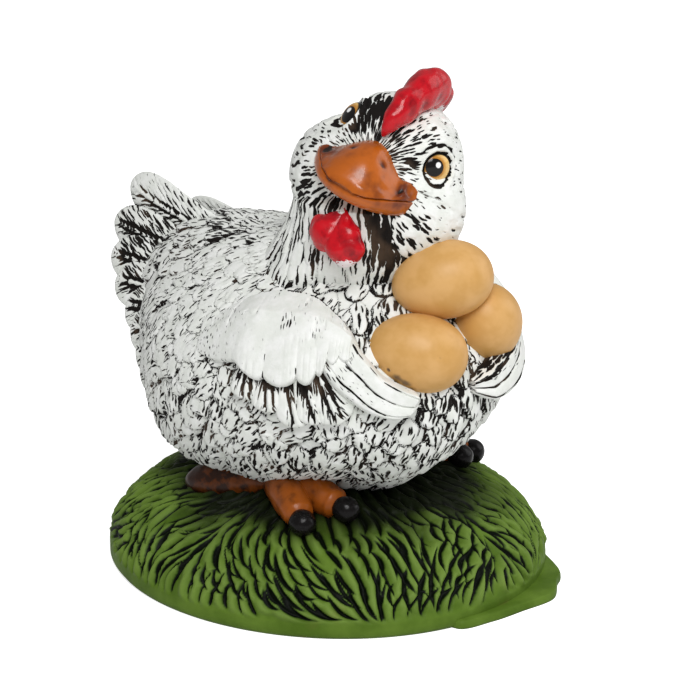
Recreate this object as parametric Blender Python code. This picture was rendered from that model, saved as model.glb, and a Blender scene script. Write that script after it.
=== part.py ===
"""A hen hugging three eggs with its wings, on a mound of grass: one solid casting.

Run with  blender --background --python part.py , or from Blender's text editor.
The hen faces -Y, its left side is +X, +Z is up, and the origin is the middle of the flat
underside. Shapes are worked out in millimetres and turned into metres when a mesh is made.
"""

from math import cos, exp, hypot, pi, radians, sin, sqrt

import bmesh
import bpy
from mathutils import Vector

MM = 0.001

# Grass mound
BASE_HALF_WIDTH = 60.0
BASE_HALF_LENGTH = 65.5
MOUND_HEIGHT = 31.0
RIM_HEIGHT = 4.0
MOUND_FULLNESS = 2.2
MOUND_SHOULDER = 1.8
BLADES_ROUND = 36
BLADE_ROWS = 4
BLADE_DEPTH = 1.3
BLADES_START = 0.34

# Mould flash left along the front of the rim
FLASH_THICKNESS = 2.4
FLASH_OUTLINE = [
    (45, -41), (37, -57.5), (31, -62.5), (23, -68.5), (11, -68.6), (0, -68.2), (-11, -65.2),
    (-6, -52), (30, -40),
]

# Body
BODY_HALF_WIDTH = 46.0
BODY_HALF_LENGTH = 57.0
BODY_HALF_HEIGHT = 36.5
BODY_SINK = 8.5
BODY_SETBACK = 1.5
BODY_LEAN = radians(32.0)
BODY_RISES = [
    ((0.0, 0.94, 0.34), 9.0, 0.42), ((0.0, 0.50, 0.86), -3.5, 0.35),
    ((0.74, 0.45, -0.50), 4.2, 0.36), ((-0.74, 0.45, -0.50), 4.2, 0.36),
    ((0.35, -0.82, -0.45), -6.8, 0.30), ((-0.47, -0.67, -0.57), -3.5, 0.34),
]
FEATHERS_ROUND = 18
FEATHER_ROWS = 10
FEATHER_DEPTH = 1.1

# Tail
TAIL_FEATHER_WIDTH = 14.5
TAIL_FEATHER_THICKNESS = 3.4
TAIL_TWIST = 0.28
TAIL_TIPS = [
    (-8, 77.1, 95.9), (-13, 78.8, 85.4), (-18, 74.1, 77.3), (-22, 67.2, 71.3),
    (-26, 57.4, 66.4), (-29, 51.3, 62.1), (-32, 45.3, 57.5), (-34, 41.0, 53.5),
]
TAIL_ROOTS = [
    (-5, 36, 86), (-9, 38, 80), (-13, 38, 75), (-17, 36, 71),
    (-21, 33, 67), (-24, 29, 63), (-27, 25, 59), (-30, 20, 55),
]
LEFT_TAIL_DROP = Vector((0.0, -6.0, -11.0))

# Wings, with edges as (bearing from straight ahead, height angle) seen from the body's centre
WING_THICKNESS = 4.6
COVERTS_TOP = [
    (94, 20), (84, 31), (73, 37.5), (60, 40), (50, 39), (43, 36.5), (37, 31), (33, 26), (30.5, 21),
]
COVERTS_EDGE = [
    (92, 12), (80, 11), (69, 12.5), (60, 9), (51, 9.5), (44, 11), (40, 15.5), (36, 16.5), (31, 18.5),
]
RIGHT_HAND = (
    [(34, 28), (30.6, 20), (28.3, 16.4), (24.8, 12), (20, 9), (17, 7.2), (15.8, 5)],
    [(42, 14), (38.5, 9), (35, 6), (31, 3), (26, 0.8), (20.5, 0.9), (16.6, 3)],
)
LEFT_HAND = (
    [(34, 28), (30, 22), (25, 17.5), (18, 14.5), (11, 12), (4.5, 9.5), (0.5, 7)],
    [(42, 14), (38, 9), (33, 5.5), (26, 2.5), (17, 0.5), (7, 0.6), (0.8, 3.5)],
)
SECONDARIES = [
    (43, 14, 36.3, -1.0), (47, 13.5, 42, -1.6), (52, 13, 48, -3.4), (58, 13, 56.8, 0.2),
    (65, 14, 65, 3.0),
]
SECONDARY_WIDTH = 11.0

# Neck and head
NECK_RADIUS = 22.3
NECK_FLARE = 11.0
NECK_LINE = [(-3.4, -25.8, 117), (-2.4, -22.8, 106), (-1, -17.5, 96), (0, -12, 87)]
HACKLES_ROUND = 18
HACKLE_ROWS = 3
HACKLE_DEPTH = 0.9
HEAD_CENTRE = Vector((0.0, -27.3, 120.4))
HEAD_RADIUS = 19.0
HEAD_LEFT = Vector((0.324, -0.850, -0.415)).normalized()
HEAD_UP = Vector((0.362, -0.293, 0.885)).normalized()
HEAD_FRONT = HEAD_LEFT.cross(HEAD_UP)
EYE_RADIUS = 4.4
EYE_PLACE = Vector((13.3, 8.0, 6.2))
BROWS = [
    ((0.60, 0.50, 0.70), 2.0, 0.28), ((-0.60, 0.50, 0.70), 1.0, 0.26), ((-0.88, 0.13, 0.45), -1.6, 0.26),
]
BILL_REACH = 29.0
BILL_RIDGE = 7.0
BILL_CORNER = 1.8
BILL_UPPER = (
    (13, 15.6, 13.8, 10.4, 6.9, 3.2), (6, 6.4, 5.4, 1.8, -2.8, -5.6), (-2, -2.2, -3.2, -4.6, -6, -6.8),
)
BILL_LOWER = (
    (13.4, 15.8, 14.4, 11.2, 7.6, 3.6), (-2.6, -2.8, -3.8, -5.2, -6.6, -7.2), (-9, -10, -10.8, -10.6, -9.8, -8),
)
COMB_LINE = [(0, 19, 8), (0, 17.5, 13.5), (0, 12.5, 18.5), (0, 4, 22.5), (1, -4, 21.5), (2, -8.5, 17)]
COMB_THICKNESS = 9.6
COMB_HEIGHT = 12.0
WATTLE_RADIUS = 5.4
WATTLE_ROOT = (-22.5, -33.0, 113.0)
WATTLE_TIPS = [(-26.3, -27.5, 102.6), (-24.5, -35.5, 99.4)]

# Eggs: middle and long axis
EGG_LENGTH = 27.4
EGG_WIDTH = 20.9
EGGS = [
    ("egg_top", (-0.9, -48.0, 92.2), (0.77, -0.61, 0.20)),
    ("egg_right", (-11.5, -49.5, 74.7), (0.68, -0.70, -0.20)),
    ("egg_left", (13.5, -49.0, 77.0), (-0.45, -0.55, 0.70)),
]

# Feet
SHANK_RADIUS = 6.0
TOE_RADIUS = 4.8
TOE_THICKEST = 1.1
CLAW_RADIUS = 3.7
HEEL = (35.0, 20.0)
ANKLE = (24.0, -7.0)
RIGHT_TOES = [(33.0, -27.0), (22.0, -31.5)]
LEFT_TOES = [(40.5, -16.0), (30.0, -22.0)]

BODY_CENTRE = Vector((0.0, BODY_SETBACK, MOUND_HEIGHT - BODY_SINK + BODY_HALF_HEIGHT))
BODY_LOBES = [
    ((0, 0, 0), (BODY_HALF_WIDTH, BODY_HALF_LENGTH, BODY_HALF_HEIGHT)),
    ((0, 10, 9), (31, 38, 29)),
    ((0, 20, 9), (27, 40, 22)),
    ((0, -14, 6), (37, 41, 33)),
]
HEAD_LOBES = [
    ((0, 0, 0), (HEAD_RADIUS, HEAD_RADIUS, HEAD_RADIUS)),
    ((7, 0, -9), (18.5, 18, 17)),
    ((-7, 0, -9), (18.5, 18, 17)),
]


# Meshes

def paint(name, colour, roughness):
    """The painted, lacquered casting has one Principled material."""
    material = bpy.data.materials.new(name)
    material.use_nodes = True
    shader = material.node_tree.nodes["Principled BSDF"]
    shader.inputs["Base Color"].default_value = (*colour, 1.0)
    shader.inputs["Roughness"].default_value = roughness
    shader.inputs["Metallic"].default_value = 0.0
    return material


def add_object(name, bm):
    """Turns a bmesh in millimetres into an object in metres with its faces pointing out."""
    bmesh.ops.triangulate(bm, faces=bm.faces)
    bmesh.ops.recalc_face_normals(bm, faces=bm.faces)
    bmesh.ops.scale(bm, vec=(MM, MM, MM), verts=bm.verts)
    mesh = bpy.data.meshes.new(name)
    bm.to_mesh(mesh)
    bm.free()
    item = bpy.data.objects.new(name, mesh)
    bpy.context.scene.collection.objects.link(item)
    return item


def close_rings(name, first, rings, last):
    """A closed skin from one end point over rings of points to the other end point."""
    bm = bmesh.new()
    start, end = bm.verts.new(first), bm.verts.new(last)
    loops = [[bm.verts.new(place) for place in ring] for ring in rings]
    count = len(loops[0])
    for c in range(count):
        d = (c + 1) % count
        bm.faces.new((start, loops[0][d], loops[0][c]))
        bm.faces.new((end, loops[-1][c], loops[-1][d]))
        for near, far in zip(loops, loops[1:]):
            bm.faces.new((near[c], near[d], far[d], far[c]))
    return add_object(name, bm)


def skin(name, point, columns, rows):
    """A closed skin with its ends at v = 0 and v = 1: point(u, v) runs round with u."""
    rings = [[point(c / columns, r / rows) for c in range(columns)] for r in range(1, rows)]
    return close_rings(name, point(0.0, 0.0), rings, point(0.0, 1.0))


def shingled(name, surface, tips_round, rows, depth, length=0.36, plain=()):
    """A closed skin of overlapping tips, like feathers or blades of grass.

    surface(u, v, lift) is the smooth shape, and v runs the way the tips point, from 0 to 1.
    After one plain ring, each row has two rings: the raised tips, and just behind them the
    hollow that the next row comes out of. Plain rings may follow, up to the end at v = 2.
    """
    columns = 2 * tips_round
    run = rows + 0.5 + length
    rings = [[surface(c / columns, 0.85 * (1 - length) / run, 0.0) for c in range(columns)]]
    for row in range(rows):
        for behind in (0.0, 0.14):
            ring = []
            for c in range(columns):
                tip = (c + row) % 2 == 0
                v = (row + 1 + (length if tip else -length) + behind) / run
                lift = depth * (-0.5 if behind else 1.0 if tip else 0.25)
                ring.append(surface(c / columns, v, lift))
            rings.append(ring)
    rings += [[surface(c / columns, v, 0.0) for c in range(columns)] for v in plain]
    return close_rings(name, surface(0.0, 0.0, 0.0), rings, surface(0.0, 2.0, 0.0))


def slab(name, top, bottom, columns, rows):
    """A closed slab between the surfaces top(u, v) and bottom(u, v), joined round their edge."""
    bm = bmesh.new()
    grids = [
        [[bm.verts.new(surface(c / columns, r / rows)) for c in range(columns + 1)] for r in range(rows + 1)]
        for surface in (top, bottom)
    ]
    for grid in grids:
        for r in range(rows):
            for c in range(columns):
                bm.faces.new((grid[r][c], grid[r][c + 1], grid[r + 1][c + 1], grid[r + 1][c]))
    border = [(0, c) for c in range(columns)] + [(r, columns) for r in range(rows)]
    border += [(rows, c) for c in range(columns, 0, -1)] + [(r, 0) for r in range(rows, 0, -1)]
    for (r, c), (q, d) in zip(border, border[1:] + border[:1]):
        bm.faces.new((grids[0][r][c], grids[0][q][d], grids[1][q][d], grids[1][r][c]))
    return add_object(name, bm)


def curve_through(points, t):
    """The point at t, from 0 to 1, on a smooth curve through the points (Catmull-Rom)."""
    points = [Vector(p) for p in points]
    last = len(points) - 1
    place = min(max(t, 0.0), 1.0) * last
    i = min(int(place), last - 1)
    f = place - i
    b, c = points[i], points[i + 1]
    a = points[i - 1] if i > 0 else b * 2 - c
    d = points[i + 2] if i + 2 <= last else c * 2 - b
    bend = (a * 2 - b * 5 + c * 4 - d) * f * f + (b * 3 - a - c * 3 + d) * f * f * f
    return 0.5 * (b * 2 + (c - a) * f + bend)


def level(values, t):
    """The value at t on a smooth curve through plain numbers."""
    return curve_through([(value, 0.0) for value in values], t).x


def reach(way, lobes, blend=14.0):
    """How far a blend of ellipsoids reaches from the origin along a unit direction.

    Each lobe is (centre, radii) and holds the origin. The larger reaches win, with a fillet
    between them that gets tighter as blend grows.
    """
    total = 0.0
    for centre, radii in lobes:
        d = Vector([way[k] / radii[k] for k in range(3)])
        o = Vector([-centre[k] / radii[k] for k in range(3)])
        a, b, c = d.dot(d), o.dot(d), o.dot(o) - 1.0
        total += ((sqrt(b * b - a * c) - b) / a) ** blend
    return total ** (1.0 / blend)


def bump(way, towards, height, spread):
    """A rounded rise on a star-shaped surface, tallest where way nears towards."""
    return height * exp(-((way - Vector(towards).normalized()).length / spread) ** 2)


def ball_direction(u, v):
    """A unit direction: v is the share of the way from +Z down to -Z, u the turn."""
    turn, fall = 2 * pi * u, pi * v
    return Vector((sin(fall) * cos(turn), sin(fall) * sin(turn), cos(fall)))


# Grass mound

def mound_height(x, y):
    """The height of the smooth mound over a point of its footprint."""
    share = min(1.0, hypot(x / BASE_HALF_WIDTH, y / BASE_HALF_LENGTH))
    rise = (1.0 - share ** MOUND_FULLNESS) ** (1.0 / MOUND_SHOULDER)
    return RIM_HEIGHT + (MOUND_HEIGHT - RIM_HEIGHT) * rise


def mound_surface(u, v, lift):
    """Blades sweep from the top, v = 0, to the rim, v = 1; then come the rim and underside."""
    if v >= 2.0:
        return Vector((0.0, 0.0, 0.0))
    turn = 2 * pi * u + 0.16 * sin(5.0 * v + 6 * pi * u)
    side = Vector((cos(turn) * BASE_HALF_WIDTH, sin(turn) * BASE_HALF_LENGTH, 0.0))
    if v > 1.0:
        return side * 0.985 + Vector((0.0, 0.0, RIM_HEIGHT if v < 1.5 else 0.0))
    share = BLADES_START * min(1.0, 9 * v) + (1.0 - BLADES_START) * sin(pi / 2 * v)
    place = side * share
    place.z = mound_height(place.x, place.y)
    outward = Vector((place.x, place.y, 10.0 + place.z)).normalized()
    return place + outward * lift


def plate(name, outline, thickness):
    """A flat plate over an outline, a little smaller on top."""
    middle = sum((Vector((x, y, 0.0)) for x, y in outline), Vector()) / len(outline)
    low = [Vector((x, y, 0.0)) for x, y in outline]
    high = [middle + (p - middle) * 0.97 + Vector((0.0, 0.0, thickness)) for p in low]
    return close_rings(name, middle, [low, high], middle + Vector((0.0, 0.0, thickness)))


# Body

def body_place(way, lift):
    """A point lift above the body's surface in a direction from its centre."""
    rises = sum(bump(way, *rise) for rise in BODY_RISES)
    return BODY_CENTRE + way * (reach(way, BODY_LOBES) + rises + lift)


def body_surface(u, v, lift):
    """Feathers run from the neck, v = 0, down and back to the vent, v = 2 at the very end."""
    fall, turn = pi * min(v, 1.0), 2 * pi * u
    neck = Vector((0.0, -sin(BODY_LEAN), cos(BODY_LEAN)))
    left = Vector((1.0, 0.0, 0.0))
    way = neck * cos(fall) + (left * cos(turn) + neck.cross(left) * sin(turn)) * sin(fall)
    return body_place(way, lift)


def side_place(side, bearing, height, lift):
    """A point on the side of the body, from its bearing and height angle in degrees."""
    b, h = radians(bearing), radians(height)
    return body_place(Vector((side * sin(b) * cos(h), -cos(b) * cos(h), sin(h))), lift)


# Feathers

def feather(name, root, tip, across, outward, width, thickness):
    """One blade with an oval section, widening from the root to a round tip."""

    def point(u, v):
        turn = 2 * pi * u
        spread = sqrt(max(0.0, 1.0 - max(0.0, (v - 0.6) / 0.4) ** 2)) * (0.62 + 0.38 * min(1.0, 1.6 * v))
        if v in (0.0, 1.0):
            spread = 0.0
        sideways = across * cos(turn) * width / 2 * spread
        return root + (tip - root) * v + sideways + outward * sin(turn) * thickness / 2 * spread ** 0.5

    return skin(name, point, 6, 5)


def tail_feather(index, side):
    """A tail feather lies along the arch of tips, turned a little so it overlaps the next."""
    mirror = Vector((-side, 1.0, 1.0))
    tips = [Vector(p) * mirror for p in TAIL_TIPS]
    if side > 0:
        tips = [p + LEFT_TAIL_DROP * (1 - k / len(tips)) for k, p in enumerate(tips)]
    root, tip = Vector(TAIL_ROOTS[index]) * mirror, tips[index]
    line = (tip - root).normalized()
    arch = tips[min(index + 1, len(tips) - 1)] - tips[max(index - 1, 0)]
    across = (arch - line * arch.dot(line)).normalized()
    outward = across.cross(line)
    if outward.x * side < 0:
        outward.negate()
    across = (across - outward * TAIL_TWIST).normalized()
    outward = (outward + (arch - line * arch.dot(line)).normalized() * TAIL_TWIST).normalized()
    name = f"tail_feather_{index}_{side}"
    return feather(name, root, tip, across, outward, TAIL_FEATHER_WIDTH, TAIL_FEATHER_THICKNESS)


def wing(side):
    """A pad of covert feathers, the long feathers of the hand, and the secondaries below."""
    leading, trailing = LEFT_HAND if side > 0 else RIGHT_HAND

    def covert_top(u, v):
        scallop = abs(sin(9 * pi * u)) * 1.6 * max(0.0, 2 * v - 1)
        bearing, height = curve_through(COVERTS_TOP, u).lerp(curve_through(COVERTS_EDGE, u), v)
        swell = min(1.0, 0.3 + 3.0 * v) * min(1.0, 4.0 * u) * (1.0 if round(u * 16) % 2 else 0.85)
        return side_place(side, bearing, height - scallop + 0.8 * v, WING_THICKNESS * swell)

    def covert_bottom(u, v):
        scallop = abs(sin(9 * pi * u)) * 1.6 * max(0.0, 2 * v - 1)
        bearing, height = curve_through(COVERTS_TOP, u).lerp(curve_through(COVERTS_EDGE, u), v)
        return side_place(side, bearing, height - scallop + 0.8 * v, -4.0)

    def hand_top(u, v):
        bearing, height = curve_through(leading, u).lerp(curve_through(trailing, u), v)
        groove = 0.8 if round(v * 6) % 2 == 0 else 0.0
        edge = min(1.0, 0.45 + 4.0 * v) * min(1.0, 0.4 + 5.0 * (1.0 - u))
        return side_place(side, bearing, height, WING_THICKNESS * 0.85 * edge + 1.2 * u - groove)

    def hand_bottom(u, v):
        bearing, height = curve_through(leading, u).lerp(curve_through(trailing, u), v)
        return side_place(side, bearing, height, -4.0)

    parts = [
        slab(f"coverts_{side}", covert_top, covert_bottom, 16, 4),
        slab(f"hand_{side}", hand_top, hand_bottom, 8, 6),
    ]
    for index, (bearing_in, height_in, bearing_out, height_out) in enumerate(SECONDARIES):
        root = side_place(side, bearing_in, height_in, 0.5)
        tip = side_place(side, bearing_out, height_out, 1.6)
        outward = (root + tip) / 2 - BODY_CENTRE
        outward = Vector((outward.x, outward.y, 0.0)).normalized()
        across = (tip - root).cross(outward).normalized()
        name = f"secondary_{index}_{side}"
        parts.append(feather(name, root, tip, across, outward, SECONDARY_WIDTH, 4.4))
    return parts


# Neck and head

def neck_surface(u, v, lift):
    """The hackle: long feathers that flare from the head, v = 0, to the cape's edge, v = 1."""
    if v >= 2.0:
        return BODY_CENTRE.copy()
    turn = 2 * pi * u
    middle = curve_through(NECK_LINE, v)
    if v == 0.0:
        return middle
    radius = NECK_RADIUS + NECK_FLARE * v * v + lift if v <= 1.0 else NECK_RADIUS * 0.8
    return middle + Vector((cos(turn), sin(turn), 0.0)) * radius * min(1.0, 0.7 + 2 * v)


def head_place(left, front, up):
    """A point in the frame of the turned and tilted head."""
    return HEAD_CENTRE + HEAD_LEFT * left + HEAD_FRONT * front + HEAD_UP * up


def head_point(u, v):
    """Skull and full cheeks, with brows over the eye sockets."""
    way = ball_direction(u, v)
    size = reach(way, HEAD_LOBES)
    for side in (-1, 1):
        size += bump(way, (0.75 * side, 0.55, 0.38), -1.8, 0.28)
        size += bump(way, (0.66 * side, 0.75, -0.10), 1.2, 0.26)
    size += sum(bump(way, *brow) for brow in BROWS)
    return head_place(*(way * size))


def eye(side):
    """A round eyeball, a little proud of its socket."""

    def point(u, v):
        return head_place(*(EYE_PLACE * Vector((side, 1.0, 1.0)) + ball_direction(u, v) * EYE_RADIUS))

    return skin(f"eye_{side}", point, 10, 7)


def bill_half(name, shape, up, reach_out):
    """Half a bill on the flat mouth line: a low dome, rolled up at the corners of the mouth."""
    widths, roofs, floors = shape

    def point(u, v):
        turn = 2 * pi * u
        front = 8.0 + (reach_out - 8.0) * sin(pi / 2 * v)
        roof, floor = level(roofs, v), level(floors, v)
        if v in (0.0, 1.0):
            return head_place(0.0, front, (roof + floor) / 2)
        across = level(widths, v) * cos(turn)
        domed = (sin(turn) > 0) == up
        seam, crown = (floor, roof) if up else (roof, floor)
        rise = abs(sin(turn))
        peak = BILL_RIDGE * (1 - v) if up else 0.9
        height = seam + (crown - seam) * (rise ** max(0.9, peak) if domed else -0.12 * rise)
        if up and domed:
            corner = exp(-((abs(across) - 12.5) / 3.0) ** 2 - ((v - 0.25) / 0.18) ** 2)
            height += BILL_CORNER * min(1.0, 3.0 * rise) * corner
        return head_place(across, front - 0.012 * across * across * sin(pi * v), height)

    return skin(name, point, 16, 10)


def comb_point(u, v):
    """A fat comb along the middle of the crown, notched twice into three lobes."""
    turn = 2 * pi * u
    middle = curve_through(COMB_LINE, v)
    if v in (0.0, 1.0):
        return head_place(*middle)
    ahead = curve_through(COMB_LINE, v + 0.03) - curve_through(COMB_LINE, v - 0.03)
    out = Vector((1.0, 0.0, 0.0)).cross(ahead).normalized()
    if out.z < 0:
        out.negate()
    swell = sin(pi * v ** 1.25) ** 0.6
    lobes = 1.0 - 0.16 * exp(-((v - 0.42) / 0.05) ** 2) - 0.16 * exp(-((v - 0.76) / 0.05) ** 2)
    wide = cos(turn) * COMB_THICKNESS / 2 * swell * lobes
    high = sin(turn) * COMB_HEIGHT / 2 * swell * (lobes if sin(turn) > 0 else 1.0)
    return head_place(*(middle + Vector((wide, 0.0, 0.0)) + out * high))


def wattle(index):
    """One of the two hanging lobes: a teardrop, fullest near its lower end."""
    root, tip = Vector(WATTLE_ROOT), Vector(WATTLE_TIPS[index])
    drop = tip - root
    outward = Vector((-0.85, -0.45, 0.2)).normalized()
    across = drop.cross(outward).normalized()

    def point(u, v):
        turn = 2 * pi * u
        swell = sin(pi * v ** 1.5) ** 0.7 if 0.0 < v < 1.0 else 0.0
        wide = (across * cos(turn) + outward * sin(turn) * 0.7) * WATTLE_RADIUS * swell
        return root + drop * (1.12 * v) + wide

    return skin(f"wattle_{index}", point, 10, 7)


# Eggs and feet

def egg(name, middle, axis):
    """An egg along its axis, a little fuller at its far end."""
    axis = Vector(axis).normalized()
    side = axis.cross(Vector((0.0, 0.0, 1.0))).normalized()
    other = axis.cross(side)

    def point(u, v):
        x, y, z = ball_direction(u, v)
        girth = EGG_WIDTH / 2 * (1.0 - 0.08 * z)
        return Vector(middle) - axis * z * EGG_LENGTH / 2 + (side * x + other * y) * girth

    return skin(name, point, 15, 10)


def limb(name, points, radii, fullness=1.6):
    """A round limb through the points, with a radius at each, rounded at both ends.

    The ends are blunt at a fullness of 1.6, and those of an egg at 1.
    """

    def point(u, v):
        turn = 2 * pi * u
        middle = curve_through(points, v)
        if v in (0.0, 1.0):
            return middle
        ahead = (curve_through(points, v + 0.05) - curve_through(points, v - 0.05)).normalized()
        side = ahead.cross(Vector((0.0, 0.0, 1.0))).normalized()
        radius = level(radii, v) * min(1.0, fullness * sqrt(max(0.0, 1.0 - (2 * v - 1) ** 2)))
        return middle + (side * cos(turn) + side.cross(ahead) * sin(turn)) * radius

    return skin(name, point, 8, 6)


def on_mound(x, y, rise):
    """A point rise above the mound's surface."""
    return Vector((x, y, mound_height(x, y) + rise))


def foot(side):
    """A shank lying on the grass, with two toes that end in blunt claws."""
    heel = on_mound(HEEL[0] * side, HEEL[1], 0.5)
    ankle = on_mound(ANKLE[0] * side, ANKLE[1], 1.5)
    parts = [limb(f"shank_{side}", [heel, heel.lerp(ankle, 0.5), ankle], [SHANK_RADIUS] * 3)]
    for index, (x, y) in enumerate(LEFT_TOES if side > 0 else RIGHT_TOES):
        end = on_mound(x * side, y, 2.6)
        knuckle = on_mound((ANKLE[0] + x) / 2 * side, (ANKLE[1] + y) / 2, 2.2)
        ahead = (end - knuckle).normalized()
        parts.append(limb(
            f"toe_{index}_{side}", [ankle.lerp(end, -0.1), knuckle, end],
            [TOE_RADIUS, TOE_RADIUS * TOE_THICKEST, TOE_RADIUS * 0.8],
        ))
        claw = [end + ahead * CLAW_RADIUS * share for share in (-0.7, 0.35, 1.4)]
        parts.append(limb(f"claw_{index}_{side}", claw, [CLAW_RADIUS] * 3, 1.0))
    return parts


# Assembly

def fill_pockets(item):
    """Applies the union, and keeps its outer skin only: the stone fills pockets between pieces."""
    seen_as = item.evaluated_get(bpy.context.evaluated_depsgraph_get())
    mesh = bpy.data.meshes.new_from_object(seen_as)
    bm = bmesh.new()
    bm.from_mesh(mesh)
    left = set(bm.verts)
    shells = []
    while left:
        shell, frontier = set(), [left.pop()]
        while frontier:
            vert = frontier.pop()
            shell.add(vert)
            near = {edge.other_vert(vert) for edge in vert.link_edges} & left
            left -= near
            frontier += near
        shells.append(shell)
    shells.sort(key=len)
    for shell in shells[:-1]:
        bmesh.ops.delete(bm, geom=list(shell), context="VERTS")
    bm.to_mesh(mesh)
    bm.free()
    item.modifiers.clear()
    item.data = mesh


def main():
    """Every piece is a closed body, and one union makes them a single casting."""
    for item in list(bpy.data.objects):
        bpy.data.objects.remove(item, do_unlink=True)
    whole = shingled(
        "hen_figurine", mound_surface, BLADES_ROUND, BLADE_ROWS, BLADE_DEPTH, plain=(1.2, 1.8)
    )
    parts = [
        plate("flash", FLASH_OUTLINE, FLASH_THICKNESS),
        shingled("body", body_surface, FEATHERS_ROUND, FEATHER_ROWS, FEATHER_DEPTH),
        shingled("neck", neck_surface, HACKLES_ROUND, HACKLE_ROWS, HACKLE_DEPTH, 0.3, (1.1,)),
        skin("head", head_point, 24, 15),
        skin("comb", comb_point, 10, 14),
        bill_half("bill_upper", BILL_UPPER, True, BILL_REACH),
        bill_half("bill_lower", BILL_LOWER, False, BILL_REACH - 0.8),
        wattle(0),
        wattle(1),
    ]
    parts += [egg(*each) for each in EGGS]
    for side in (-1, 1):
        parts.append(eye(side))
        parts += wing(side)
        parts += [tail_feather(index, side) for index in range(len(TAIL_TIPS))]
        parts += foot(side)
    pieces = bpy.data.collections.new("pieces of the casting")
    bpy.context.scene.collection.children.link(pieces)
    for part in parts:
        bpy.context.scene.collection.objects.unlink(part)
        pieces.objects.link(part)
        part.hide_render = True
        part.display_type = "WIRE"
    join = whole.modifiers.new("join", "BOOLEAN")
    join.operation = "UNION"
    join.solver = "EXACT"
    join.operand_type = "COLLECTION"
    join.collection = pieces
    fill_pockets(whole)
    for part in parts:
        bpy.data.objects.remove(part, do_unlink=True)
    bpy.data.collections.remove(pieces)
    whole.data.materials.append(paint("painted_casting", (0.72, 0.74, 0.70), 0.45))


main()
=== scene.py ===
"""The painted surface of the hen figurine, piece by piece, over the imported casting.

Shapes are worked out in the casting's own millimetres as numpy arrays, and MM turns them into
the frame's metres. The hen faces -Y, its left side is +X and +Z is up.
"""

from math import pi

import bpy
import numpy as np
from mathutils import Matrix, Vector


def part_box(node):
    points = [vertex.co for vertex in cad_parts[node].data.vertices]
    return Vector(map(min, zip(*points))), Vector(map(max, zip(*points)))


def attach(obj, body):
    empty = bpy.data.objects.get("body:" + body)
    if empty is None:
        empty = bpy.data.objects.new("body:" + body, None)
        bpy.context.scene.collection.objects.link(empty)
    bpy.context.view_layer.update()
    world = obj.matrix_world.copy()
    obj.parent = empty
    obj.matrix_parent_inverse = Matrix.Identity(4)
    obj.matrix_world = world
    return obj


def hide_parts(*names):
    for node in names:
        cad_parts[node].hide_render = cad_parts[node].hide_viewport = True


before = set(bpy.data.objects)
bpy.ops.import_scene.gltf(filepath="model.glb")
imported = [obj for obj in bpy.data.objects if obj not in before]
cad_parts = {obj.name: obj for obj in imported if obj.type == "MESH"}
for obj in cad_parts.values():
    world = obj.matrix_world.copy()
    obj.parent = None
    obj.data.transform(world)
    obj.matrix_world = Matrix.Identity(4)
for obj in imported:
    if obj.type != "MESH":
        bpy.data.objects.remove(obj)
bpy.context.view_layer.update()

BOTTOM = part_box("hen_figurine")[0]
MM = 0.001
CHANCE = np.random.default_rng(7)
WORD = {1: "left", -1: "right"}

# Grass mound
BASE_HALF_WIDTH = 60.0
BASE_HALF_LENGTH = 65.5
MOUND_HEIGHT = 31.0
RIM_HEIGHT = 4.0
MOUND_FULLNESS = 2.2
MOUND_SHOULDER = 1.8
BASE_MEAN_RADIUS = 62.0
FOOT_SHARE = 0.985
SKIRT_HEIGHTS = (2.6, 1.2)
CUTS_START = 0.26
CUTS_SPAN = 0.66
CUT_PITCH = 4.0
CUT_ROWS = 8
CUT_LENGTH = 16.0
CUT_WIDTH = 0.74
CUT_DEPTH = 1.35
CUT_BEND = 2.2
LOCK_CURL = 0.17
BLADE_CROWN = 1.1
BLADE_GAP = 1.9
BLADE_WIDTH = 1.25
FLASH_OUTLINE = [
    (45, -41), (37, -57.5), (31, -62.5), (23, -68.5), (11, -68.6), (0, -68.2), (-11, -65.2),
    (-6, -52), (30, -40),
]
# scale and height of the rings of the flash
FLASH_PROFILE = [
    (0.6, 0.0), (0.985, 0.0), (0.99, 0.6), (0.985, 1.6), (0.97, 2.2), (0.95, 2.4), (0.6, 2.4),
]

# Body
BODY_CENTRE = np.array([0.0, 1.5, 59.0])
BODY_LOBES = [
    ((0, 0, 0), (46, 57, 36.5)), ((0, 10, 9), (31, 38, 29)),
    ((0, 20, 9), (27, 40, 22)), ((0, -14, 6), (37, 41, 33)),
]
BODY_LEAN = np.radians(32.0)
BODY_RISES = [
    ((0.0, 0.94, 0.34), 9.0, 0.42), ((0.0, 0.50, 0.86), -3.5, 0.35),
    ((0.74, 0.45, -0.50), 4.2, 0.36), ((-0.74, 0.45, -0.50), 4.2, 0.36),
    ((0.35, -0.82, -0.45), -6.8, 0.30), ((-0.47, -0.67, -0.57), -3.5, 0.34),
]
BODY_FEATHER_WIDTH = 6.4
BODY_FEATHER_LENGTH = 9.5
BODY_FEATHER_RISE = 1.2
BODY_FEATHER_ROW = 0.029
BODY_START = 0.07
BODY_END = 0.95
BODY_MEAN_RADIUS = 44.0
# a spot is a place, a radius and what it adds there, here and below
SMOOTH_FLANKS = [((-43, 10, 76), 17, 1.0), ((43, 10, 76), 17, 1.0)]
BODY_BLOTS = [
    ((-41, 8, 82), 15, 0.30), ((41, 8, 82), 15, 0.30), ((-12, 26, 94), 12, -0.22), ((12, 26, 94), 12, -0.22),
    ((-45, -12, 67), 6, -0.40), ((45, -12, 67), 6, -0.40),
    ((-43, -18, 60), 6, -0.35), ((43, -18, 60), 6, -0.35),
    # the three spots under the eggs are painted shadow of the eggs on the body
    ((-20, -52, 66), 8, -0.30), ((-8, -57, 65), 8, -0.40), ((4, -58, 64), 8, -0.30),
    ((-30, -39, 75), 7, -0.5), ((30, -39, 75), 7, -0.5),
    ((-14, -43, 88), 8, -0.6), ((4, -46, 88), 12, -0.6), ((-19, -39, 82), 6, 0.15),
    ((-24, -38, 80), 5, -0.2),
]

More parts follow.
